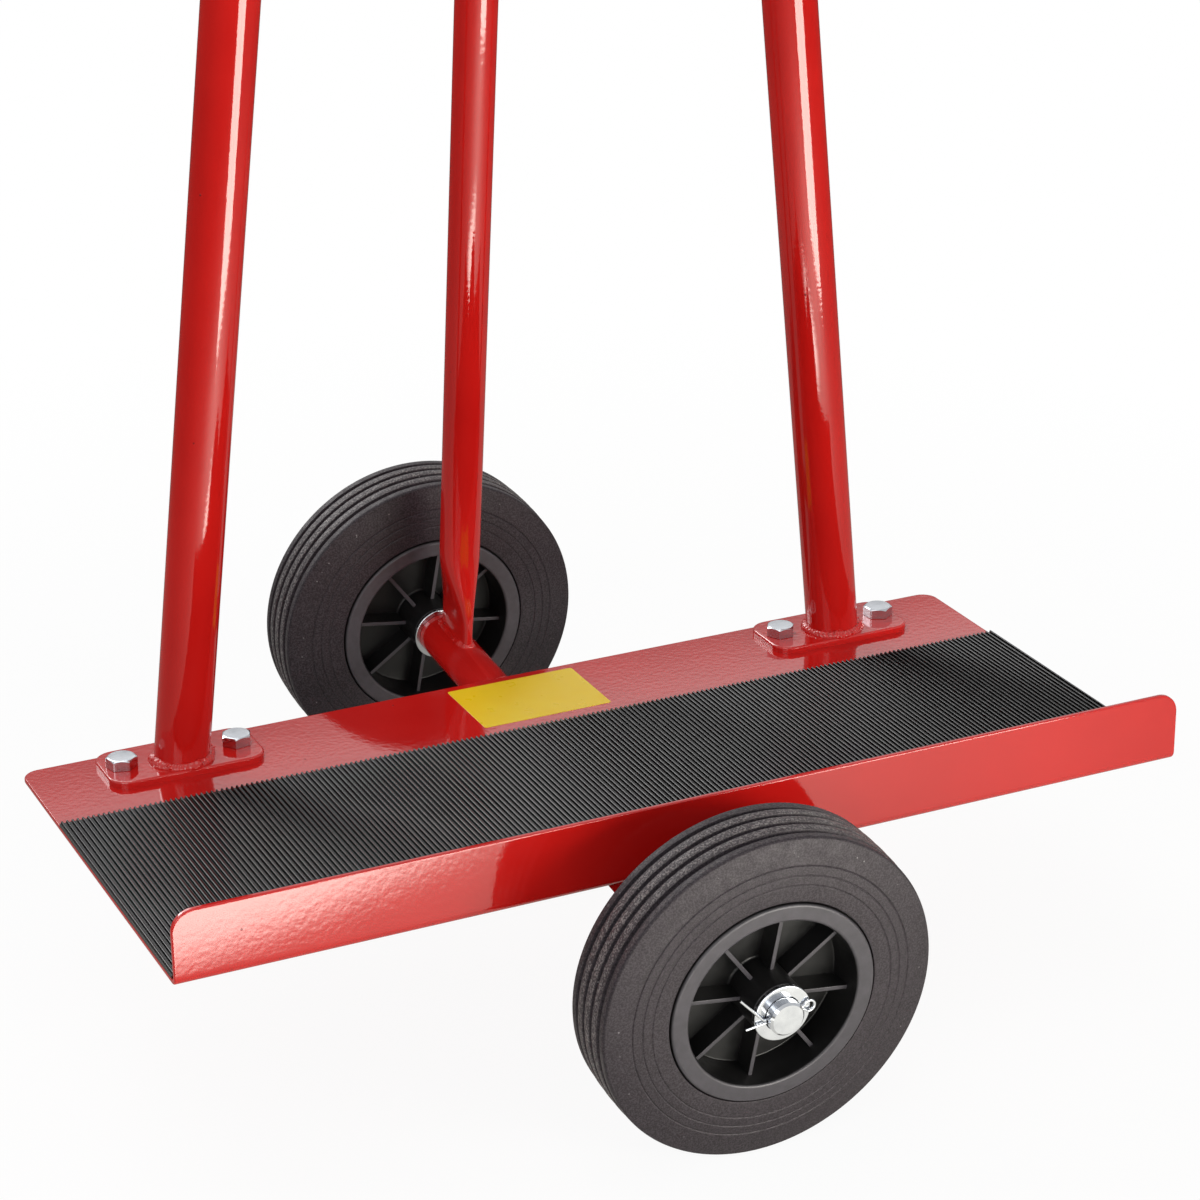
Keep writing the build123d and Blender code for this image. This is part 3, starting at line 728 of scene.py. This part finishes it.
def hexBolt(middle, turn, values):
    # radius by angle is a hexagon with softly rounded corners (a high power mean of its three directions);
    # rows run from the middle of the head over the chamfer, down the flats and along the shank
    angle = roundAngles(values["around"])
    power = values["cornerPower"]
    sides = np.stack([np.abs(np.cos(angle + k * math.pi / 3)) for k in range(3)])
    hexagon = values["halfFlats"] / np.sum(sides**power, axis=0) ** (1 / power)
    flat = 0 * angle
    head, low, shank, length = (values[key] for key in ("head", "chamferRadius", "shank", "length"))
    drop = (hexagon - low) * values["chamferSlope"]
    rows = [(flat, head + flat)]
    rows += [(low + out + flat, head + up + flat) for out, up in values["topEdge"]]
    rows += [(hexagon + out, head - drop + up) for out, up in values["sideEdge"]]
    rows += [(hexagon + out, up + flat) for out, up in values["footEdge"]]
    rows += [
        (shank + flat, flat),
        (shank + flat, flat - length + values["endChamfer"]),
        (shank - values["endChamfer"] + flat, flat - length),
        (flat, flat - length),
    ]
    radius, level = (np.stack(part) for part in zip(*rows))
    x = middle[0] + radius * np.cos(angle + turn)
    y = middle[1] + radius * np.sin(angle + turn)
    return gridShell(deckPoint(x, y, flangeSet["thickness"] + level))


boltPlaces = [
    (side * frameSet["legSpread"] / 2 + end * flangeSet["boltReach"], flangeSet["depth"])
    for side in (-1, 1) for end in (-1, 1)
]
bolts = [hexBolt(place, turn, boltSet) for place, turn in zip(boltPlaces, boltSet["turns"])]
makePiece("hexagon_bolts", bolts, "chassis", "zinc_plate", ["flange_bolts"], sharp=24)
print("bolts made")

# Brace: tube pressed flat at both ends
braceSet = {
    "foot": (0.0, tubeHigh[1] - 27.0, axleHeight),  # 27 in from the axle tube's rear end
    "radius": 12.5,
    "footHalf": (3.5, 19.5),  # across and along the axle
    "footPower": 3.6,  # squareness of the pressed section; 2 is an ellipse
    "footFlat": 24.0, "footBlend": 52.0, "footRow": 19.0, "headHalf": (19.5, 2.5), "headPower": 7.0,
    "headFlat": 30.0, "headBlend": 80.0, "headRow": 8.0, "headTop": 13.0, "headCorner": 10.0,
    "seatGap": 0.1, "around": 128,
    "footWeld": (2.2, 36, 0.4),  # size, ripples round it and seed
    "weldAround": 300,
}

# The brace's line passes behind the top bar by enough for its head to lie against the bar
topBar = frameFoot + frameUp * frameRise
barAway = topBar - np.array(braceSet["foot"])
barOffset = frameSet["radius"] + braceSet["seatGap"] + 2 * braceSet["headHalf"][1] - braceSet["radius"]
barReach = np.linalg.norm(barAway)
braceLean = math.atan2(-barAway[1], barAway[2]) - math.asin(barOffset / barReach)
braceLength = math.sqrt(barReach**2 - barOffset**2)  # from the axle's line to the bolt
braceUp = np.array([0.0, -math.sin(braceLean), math.cos(braceLean)])
braceBack = np.array([0.0, math.cos(braceLean), math.sin(braceLean)])


def ovalSection(halfX, halfBack, power, angle):
    # superellipse: both half widths times a power of the cosine and the sine
    c, s = np.cos(angle), np.sin(angle)
    x = halfX * np.sign(c) * np.abs(c) ** (2 / power)
    return x, halfBack * np.sign(s) * np.abs(s) ** (2 / power)


def makeBrace(values):
    # one section carried up the brace's line; its half widths and squareness run smoothly
    # from the pressed foot to the round tube and on to the pressed head, which is flush with the tube's rear
    footFlat, footBlend, headBlend = values["footFlat"], values["footBlend"], values["headBlend"]
    radius, headCorner = values["radius"], values["headCorner"]
    top = braceLength + values["headTop"]
    headStart = braceLength - values["headFlat"]
    rounding = np.linspace(0, 1, 10)[1:] * math.pi / 2
    run = np.concatenate([
        [tubeRadius, values["footRow"], footFlat],
        footFlat + footBlend * np.linspace(0, 1, 40)[1:],
        headStart - headBlend * np.linspace(1, 0, 36),
        [headStart + values["headRow"], top - headCorner],
        top - headCorner * (1 - np.sin(rounding)),
        [top],
    ])
    footShare = 1 - smooth((run - footFlat) / footBlend)
    headShare = smooth((run - headStart + headBlend) / headBlend)
    shares = np.stack([1 - footShare - headShare, footShare, headShare], axis=1)
    sections = [
        (radius, radius, 2.0),
        (*values["footHalf"], values["footPower"]),
        (*values["headHalf"], values["headPower"]),
    ]
    halfX, halfBack, power = (shares @ np.array(sections)).T
    corner = np.clip((run - top + headCorner) / headCorner, 0, 1)
    halfX = halfX - headCorner * (1 - np.sqrt(1 - corner**2))
    halfX[-1] = 0
    halfBack[-1] = 0
    shift = headShare * (radius - values["headHalf"][1])
    angle = roundAngles(values["around"])
    x, back = ovalSection(halfX[:, None], halfBack[:, None], power[:, None], angle)
    back = back + shift[:, None]
    points = np.array(values["foot"]) + x[..., None] * lipAxis + back[..., None] * braceBack
    points = points + run[:, None, None] * braceUp
    points[0, :, 2] = axleHeight + np.sqrt(tubeRadius**2 - x[0] ** 2)
    closing = points[:1].mean(axis=1, keepdims=True) + 0 * points[:1]
    redPiece("pressed_brace", [gridShell(np.concatenate([closing, points]))], ["brace"])


def onAxleTube(points):
    # how far the axle tube's round top lies below its crown at each point
    return np.sqrt(np.maximum(tubeRadius**2 - points[..., 0] ** 2, 0)) - tubeRadius


def makeFootWeld(values):
    # bead round the pressed foot, lying on the axle tube
    x, y = ovalSection(*values["footHalf"], values["footPower"], roundAngles(values["weldAround"]))
    base = np.array(values["foot"]) + np.stack([x, y, tubeRadius + 0 * x], axis=-1)
    tangent = np.roll(base, -1, axis=0) - np.roll(base, 1, axis=0)
    outward = unit(np.stack([tangent[:, 1], -tangent[:, 0], 0 * x], axis=-1))
    bead = weldRing(base, outward, upAxis + 0 * base, *values["footWeld"], onAxleTube)
    redPiece("foot_weld", [bead], sharp=70)


makeBrace(braceSet)
makeFootWeld(braceSet)
print("brace made")

# Axle tube with its seam, and the weld at the platform's rear edge
axleTubeSet = {
    "bore": 10.5,
    "seamAngle": math.radians(128),  # from +X, over the top
    "seamHeight": 0.16, "seamWidth": math.radians(4), "edge": 0.5, "around": 160, "plateWeld": 2.3,
    "plateWeldReach": 10.5,
    "plateWeldLift": 0.4,  # up and back from the edge
}


def makeAxleTube(values):
    # circle with a low ridge where the strip was welded shut, carried along Y, bore joined at both ends
    edge, bore = values["edge"], values["bore"]
    start, end = tubeLow[1], tubeHigh[1]
    angle = roundAngles(values["around"])
    seam = values["seamHeight"] * np.exp(-(((angle - values["seamAngle"]) / values["seamWidth"]) ** 2))
    rows = np.array([  # radius, place along Y, share of the seam
        (tubeRadius - edge, start, 0), (tubeRadius, start + edge, 1), (tubeRadius, end - edge, 1),
        (tubeRadius - edge, end, 0), (bore, end, 0), (bore, start, 0),
    ])
    radius = rows[:, :1] + rows[:, 2:] * seam
    y = rows[:, 1:2] + 0 * angle
    points = np.stack([radius * np.cos(angle), y, axleHeight + radius * np.sin(angle)], axis=-1)
    redPiece("axle_tube_seamed", [gridShell(points, closeRows=True)], ["axle_tube"], sharp=30)


def makePlateWeld(values):
    # lumpy bead along the platform's rear lower edge, over the top of the axle tube: circles round a line,
    # full in its middle and closing at both ends
    t = np.linspace(0, 1, 64)
    x = values["plateWeldReach"] * (2 * t - 1)
    lift = values["plateWeldLift"]
    rearEdge = deckPoint(0.0, deckSet["depth"], -deckSet["sheet"])
    height = axleHeight + np.sqrt(tubeRadius**2 - x**2) + lift
    middle = np.stack([x, rearEdge[1] + lift + 0 * x, height], axis=-1)
    thick = values["plateWeld"] * np.sqrt(np.clip(1 - (2 * t - 1) ** 6, 0, 1))
    thick = thick * (1 + 0.12 * np.abs(np.sin(t * 34)) + 0.08 * np.sin(t * 11 + 1))
    angle = roundAngles(24)[:, None]
    side = np.cross(unit(np.gradient(middle, axis=0)), axleAxis)
    ring = np.cos(angle) * axleAxis + np.sin(angle) * side[:, None]
    redPiece("plate_weld", [gridShell(middle[:, None] + thick[:, None, None] * ring)], sharp=70)


makeAxleTube(axleTubeSet)
makePlateWeld(axleTubeSet)
print("axle tube made")

# Sticker: a plain blank one on the deck
stickerShell = roundedSlab(
    stickerSet["middle"], *stickerSet["half"], stickerSet["corner"], 0.0, stickerSet["thickness"],
    stickerSet["edge"],
)
makePiece("blank_sticker", [stickerShell], "chassis", "red_paint", finish=yellowFilm)
print("sticker made")

# Wheels
tyreSet = {
    "radius": 97.5, "crownDrop": 0.9, "halfTread": 19.75, "shoulder": 1.6, "grooves": (4.25, 12.75),
    "grooveHalf": (1.7, 0.95),  # at the mouth and at the floor
    "grooveDepth": 2.1, "bandHalf": 2.55, "bandCrown": 0.3, "bulge": 3.6, "bow": 1.4, "bead": 60.6,
    "beadEdge": 0.8,
    "beadSoft": (0.25, 0.1),  # out and in, half way round the bead's edge
    "seat": 52.5, "seatHalf": 19.6, "lines": (70.5, 76.0, 81.5), "lineDepth": 0.42,
    "lineWidth": 0.36, "wallRows": 170, "around": 200,
}


def makeTyre(name, centre, values):
    # tread radius is a shallow parabola less smooth troughs between rounded bands; a sidewall is a bowed line
    # less thin cut lines
    halfTread, shoulder, bead = values["halfTread"], values["shoulder"], values["bead"]
    mouth, floor = values["grooveHalf"]
    grooves = np.array([side * place for place in values["grooves"] for side in (-1, 1)])
    fine = (grooves[:, None] + np.linspace(-mouth, mouth, 17)).ravel()
    coarse = np.linspace(-1, 1, 31) * (halfTread - shoulder)
    across = np.unique(np.round(np.concatenate([fine, coarse]), 4))
    near = np.min(np.abs(across[:, None] - grooves), axis=1)
    trough = values["grooveDepth"] * smooth((mouth - near) / (mouth - floor))
    rounded = values["bandCrown"] * (1 - smooth((near - mouth) / values["bandHalf"]))
    tread = values["radius"] - values["crownDrop"] * (across / halfTread) ** 2 - trough - rounded
    edgeRadius = values["radius"] - values["crownDrop"]
    turn = np.linspace(0, math.pi / 2, 8)[1:]
    cornerRadius = edgeRadius - shoulder * (1 - np.cos(turn))
    cornerPlace = halfTread - shoulder * (1 - np.sin(turn))
    wall = np.linspace(edgeRadius - shoulder, bead + values["beadEdge"], values["wallRows"])
    share = (wall - bead) / (edgeRadius - shoulder - bead)
    place = halfTread + values["bulge"] * (1 - share) + 4 * values["bow"] * share * (1 - share)
    for line in values["lines"]:
        place = place - values["lineDepth"] * np.exp(-(((wall - line) / values["lineWidth"]) ** 2))
    beadPlace = halfTread + values["bulge"]
    softOut, softIn = values["beadSoft"]
    inner = np.array([
        (bead + softOut, beadPlace - softIn), (bead, beadPlace - values["beadEdge"]),
        (bead, values["seatHalf"]), (values["seat"], values["seatHalf"]),
    ])
    half = np.concatenate([
        np.stack([cornerRadius, cornerPlace], axis=1), np.stack([wall[1:], place[1:]], axis=1), inner
    ])
    outline = np.concatenate([np.stack([tread, across], axis=1), half, (half * [1, -1])[::-1]])
    shell = turned(outline, centre, values["around"])
    makePiece(f"{name}_tyre_solid", [shell], f"{name}_wheel", "tyre_rubber", [f"{name}_tyre"], sharp=55)


rimSet = {
    "bore": 10.1, "hub": 16.0, "hubHalf": 30.5, "webHalf": 2.5, "dishFloor": 48.0, "dish": 50.0,
    "half": 24.7, "ring": 60.0, "ringInner": 19.7, "seat": 52.4,
    "corners": (0.6, 0.9, 1.6, 0.8, 1.8, 1.8, 0.3, 0.3),  # roundings of half the section, from the bore
    "ribs": 8, "firstRib": math.radians(81.6),
    "ribHalf": (1.2, 15.7),  # across and along the axle
    "ribSpan": (14.6, 50.4), "ribEdge": 0.35, "around": 160,
}


def makeRim(name, centre, values):
    # one turned section for hub, web, dish and rings, and straight ribs with round edges from hub to dish
    places = [  # radius and place along Y
        ("bore", "hubHalf"), ("hub", "hubHalf"), ("hub", "webHalf"), ("dishFloor", "webHalf"),
        ("dish", "half"), ("ring", "half"), ("ring", "ringInner"), ("seat", "ringInner"),
    ]
    half = [(values[r], values[y], e) for (r, y), e in zip(places, values["corners"])]
    outline = roundedLoop(half + [(r, -y, e) for r, y, e in half[::-1]], 6)
    shells = [turned(outline, centre, values["around"])]
    thick, wide = values["ribHalf"]
    signs = ((-1, -1), (1, -1), (1, 1), (-1, 1))
    section = roundedLoop([(a * thick, b * wide, values["ribEdge"]) for a, b in signs], 4)
    start, end = values["ribSpan"]
    reach = np.array([start, start, end, end])[:, None]
    spread = np.array([0, 1, 1, 0])[:, None]  # the ends close on the rib's middle line
    a, y = spread * section[:, 0], spread * section[:, 1]
    for k in range(values["ribs"]):
        angle = values["firstRib"] + k * 2 * math.pi / values["ribs"]
        outward = math.cos(angle) * lipAxis + math.sin(angle) * upAxis
        aside = math.cos(angle) * upAxis - math.sin(angle) * lipAxis
        points = reach[..., None] * outward + a[..., None] * aside + y[..., None] * axleAxis
        shells.append(gridShell(points + centre))
    rim = makePiece(f"{name}_rim_moulded", shells, f"{name}_wheel", "rim_plastic", [f"{name}_rim"], sharp=35)
    markOutward(rim)


washerSet = {"edge": 0.7, "innerEdge": 0.3, "boreLess": 0.2, "around": 128}


def makeWasher(node, values):
    # flat ring with rounded edges, in its node's place
    low, high = nodeBox(node)
    outer, inner = (high[0] - low[0]) / 2, axleTubeSet["bore"] - values["boreLess"]
    edge, innerEdge = values["edge"], values["innerEdge"]
    half = (high[1] - low[1]) / 2
    outline = roundedLoop(
        [(inner, -half, innerEdge), (outer, -half, edge), (outer, half, edge), (inner, half, innerEdge)], 5
    )
    centre = np.array([0, (low[1] + high[1]) / 2, axleHeight])
    shell = turned(outline, centre, values["around"])
    makePiece(f"{node}_rounded", [shell], "chassis", "zinc_plate", [node])


for wheelName in ("front", "rear"):
    wheelCentre = sum(nodeBox(f"{wheelName}_tyre")) / 2
    makeTyre(wheelName, wheelCentre, tyreSet)
    makeRim(wheelName, wheelCentre, rimSet)
    for where in ("inner", "outer"):
        makeWasher(f"{wheelName}_{where}_washer", washerSet)
print("wheels made")

# Studio, in metres: pale floor, soft light and the photograph's camera
studioSet = {
    "floorHalf": 10.0, "floorTone": 0.9,
    "fill": 0.34,  # soft light from all round
    "mirrored": 0.8,  # what gloss sees of the white surroundings
    "nearWhite": 0.93,  # share of plain white close to the trolley, where the floor keeps its shadow
    "shadowReach": (0.45, 0.95),
    "poolMiddle": (0.10, -0.85),  # middle of the painted pools of light that gloss sees on the floor, in place of the front softbox's light
    "steadyGlow": 0.08,
    "pools": ((0.65, 1.1), (2.3, 0.45)),  # strength and reach
    # painted bright spot on the floor, glowing for gloss only
    "spotMiddle": (-0.13, -0.603), "spotAlong": (0.932, -0.363), "spotHalf": (0.24, 0.075),
    "spot": 12.5,
    "warmth": (1.0, 0.97, 0.88),  # colour of the light from the front
}


def stageMesh(name, finishName, points, faces):
    # object for the studio, with the tree of a material that has nothing but its output
    mesh = bpy.data.meshes.new(name)
    mesh.from_pydata(points, [], faces)
    finish = bpy.data.materials.new(finishName)
    finish.use_nodes = True
    finish.node_tree.nodes.remove(finish.node_tree.nodes["Principled BSDF"])
    mesh.materials.append(finish)
    return newObject(name, mesh), finish.node_tree


def showShader(tree, shader, output="Material Output"):
    tree.links.new(shader.outputs[0], tree.nodes[output].inputs["Surface"])


def backgroundShare(tree):
    # 1 for rays that show the background: seen directly, mirrored or through something clear
    path = addNode(tree, "ShaderNodeLightPath").outputs
    share = mathOf("MAXIMUM", path["Is Camera Ray"], path["Is Glossy Ray"])
    return mathOf("MAXIMUM", share, path["Is Transmission Ray"])


def paintedFloorLight(place, values):
    # painted light that gloss sees on the floor: a steady part, two round painted pools of light that fall
    # off as the exponential of minus the squared distance, and an oval painted bright spot that falls off as
    # the exponential of minus its fourth power
    def square(middle, along, half):
        step = vectorOf("SUBTRACT", place, (*middle, 0))
        squares = []
        for axis, size in zip(((*along, 0), (-along[1], along[0], 0)), half):
            away = mathOf("ABSOLUTE", vectorOf("DOT_PRODUCT", step, axis))
            squares.append(mathOf("POWER", mathOf("DIVIDE", away, size), 2.0))
        return mathOf("ADD", *squares)

    def fall(power, strength):
        return mathOf("MULTIPLY", mathOf("EXPONENT", mathOf("MULTIPLY", power, -1.0)), strength)

    glow = values["steadyGlow"]
    for strength, reach in values["pools"]:
        pool = square(values["poolMiddle"], (1.0, 0.0), (reach, reach))
        glow = mathOf("ADD", fall(pool, strength), glow)
    oval = mathOf("POWER", square(values["spotMiddle"], values["spotAlong"], values["spotHalf"]), 2.0)
    return mathOf("ADD", fall(oval, values["spot"]), glow)


def makeFloor(values):
    # matt floor; the background rays see most of it as plain white, and gloss sees it glowing with painted
    # pools of light and a painted bright spot in place of the front softbox's light
    half, tone = values["floorHalf"], values["floorTone"]
    corners = [(x * half, y * half, 0) for x, y in ((-1, -1), (1, -1), (1, 1), (-1, 1))]
    floor, tree = stageMesh("floor", "paleFloor", corners, [(0, 1, 2, 3)])
    matt = addNode(tree, "ShaderNodeBsdfDiffuse", {"Color": (tone, tone, tone, 1)})
    place = addNode(tree, "ShaderNodeTexCoord").outputs["Object"]
    seen = addNode(tree, "ShaderNodeLightPath").outputs["Is Camera Ray"]
    strength = addNode(tree, "ShaderNodeMix", {0: seen, 2: paintedFloorLight(place, values), 3: 1.0}).outputs[0]
    colour = mixColours(seen, values["warmth"], (1, 1, 1))
    glow = addNode(tree, "ShaderNodeEmission", {"Color": colour, "Strength": strength})
    white = mapped(vectorOf("LENGTH", place), *values["shadowReach"], values["nearWhite"])
    links = {0: mathOf("MULTIPLY", backgroundShare(tree), white), 1: matt.outputs[0], 2: glow.outputs[0]}
    showShader(tree, addNode(tree, "ShaderNodeMixShader", links))


def makeWorld(values):
    # soft grey light for the trolley, white for the camera and nearly white for the other rays that show
    # the background
    world = bpy.data.worlds.new("studio")
    bpy.context.scene.world = world
    world.use_nodes = True
    tree = world.node_tree
    soft = tree.nodes["Background"]
    soft.inputs["Strength"].default_value = values["fill"]
    soft.inputs["Color"].default_value = (1, 1, 1, 1)
    seen = addNode(tree, "ShaderNodeLightPath").outputs["Is Camera Ray"]
    strength = addNode(tree, "ShaderNodeMix", {0: seen, 2: values["mirrored"], 3: 1.0}).outputs[0]
    white = addNode(tree, "ShaderNodeBackground", {"Color": (1, 1, 1, 1), "Strength": strength})
    links = {0: backgroundShare(tree), 1: soft.outputs[0], 2: white.outputs[0]}
    showShader(tree, addNode(tree, "ShaderNodeMixShader", links), "World Output")


# Lamps: place, aim, size, power, what they light, then colour and spread where these aren't plain
lampSet = {
    "front softbox": ((1.30, -2.10, 0.70), (0.0, 0.0, 0.30), (1.0, 0.7), 37.0, "matt", studioSet["warmth"]),
    "front softbox face": (
        (0.36, -0.98, 0.23), (0.20, -0.36, 0.23), (0.62, 0.45), 11.9, "gloss", studioSet["warmth"],
    ),
    "mat softbox": (
        (-0.68, 2.05, 1.15), (0.22, 0.0, 0.13), (1.3, 0.7), 1.5, "gloss", (1, 1, 1), math.radians(36),
    ),
    "top softbox": ((-0.5, 0.2, 2.6), (0.0, 0.0, 0.2), (1.8, 1.8), 12.0, "both"),
    "left softbox": ((-1.3, -1.2, 1.1), (0.0, 0.0, 0.3), (1.0, 1.0), 10.0, "both"),
    "rear softbox": ((-0.3, 2.3, 1.9), (0.0, 0.0, 0.15), (1.6, 1.0), 24.0, "both"),
}


def makeLamp(name, place, aim, size, power, lights, colour=(1, 1, 1), spread=math.pi):
    # soft rectangular lamp that lights matt surfaces, gloss or both
    light = bpy.data.lights.new(name, "AREA")
    light.shape = "RECTANGLE"
    light.size, light.size_y = size
    light.energy, light.color, light.spread = power, colour, spread
    lamp = newObject(name, light)
    lamp.location = place
    lamp.rotation_euler = (Vector(aim) - Vector(place)).to_track_quat("-Z", "Y").to_euler()
    lamp.visible_camera = False
    lamp.visible_diffuse = lights != "gloss"
    lamp.visible_glossy = lights != "matt"


cameraSet = {
    "place": (-0.72788, -1.52335, 1.07844), "yaw": 0.45422,
    "pitch": 0.47271,  # down
    "roll": -0.02955,
    "lens": 100.04,  # millimetres, as the sensor
    "sensor": 36, "clipEnd": 50,
}


def makeCamera(values):
    # axes from yaw, pitch and roll: forward, right across it, down square to both
    yaw, pitch, roll = values["yaw"], values["pitch"], values["roll"]
    forward = np.array([
        math.sin(yaw) * math.cos(pitch), math.cos(yaw) * math.cos(pitch), -math.sin(pitch)
    ])
    right = np.array([math.cos(yaw), -math.sin(yaw), 0.0])
    down = np.cross(forward, right)
    rolledRight = math.cos(roll) * right + math.sin(roll) * down
    rolledDown = -math.sin(roll) * right + math.cos(roll) * down
    lens = bpy.data.cameras.new("photo camera")
    lens.lens = values["lens"]
    lens.sensor_width = values["sensor"]
    lens.clip_end = values["clipEnd"]
    camera = newObject("photo camera", lens)
    axes = np.eye(4)
    axes[:3] = np.stack([rolledRight, -rolledDown, -forward, values["place"]], axis=1)
    camera.matrix_world = Matrix(axes.tolist())
    bpy.context.scene.camera = camera


cardSet = {
    "depth": 238.0,  # millimetres: the line of the deck that mirrors the card's middle to the camera
    "halfLength": 420.0,  # millimetres
    "columns": 25, "reach": 2.2, "rise": (-0.45, -0.25, -0.035, 0.035, 0.15, 0.35),
    "glow": (1.0, 0.55, 0.55, 1.45, 1.45, 1.0),
}


def makeRearCard(values):
    # upright sheet behind the trolley that only gloss sees, dim below and bright above: it stands where a
    # line of the deck mirrors the camera, point + reach (2 (normal . view) normal - view), moved up and down
    x = np.linspace(-1, 1, values["columns"]) * values["halfLength"]
    points = deckPoint(x, values["depth"], 0.0) * mm
    view = unit(np.array(cameraSet["place"]) - points)
    middle = points + values["reach"] * (2 * (view @ deckNormal)[:, None] * deckNormal - view)
    rows = middle + np.array(values["rise"])[:, None, None] * upAxis
    vertices, faces = gridShell(rows, closeColumns=False)
    card, tree = stageMesh("rear card", "rearCard", vertices, faces.tolist())
    marks = card.data.attributes.new("glow", "FLOAT", "POINT")
    marks.data.foreach_set("value", np.repeat(values["glow"], len(points)).astype(np.float32))
    glow = addNode(tree, "ShaderNodeAttribute", attribute_name="glow").outputs["Fac"]
    showShader(tree, addNode(tree, "ShaderNodeEmission", {"Strength": glow}))
    for kind in ("camera", "diffuse", "transmission", "volume_scatter", "shadow"):
        setattr(card, f"visible_{kind}", False)


makeFloor(studioSet)
makeRearCard(cardSet)
makeWorld(studioSet)
for lampName, lampValues in lampSet.items():
    makeLamp(lampName, *lampValues)
makeCamera(cameraSet)
bpy.context.scene.view_settings.view_transform = "Standard"
print("studio made")
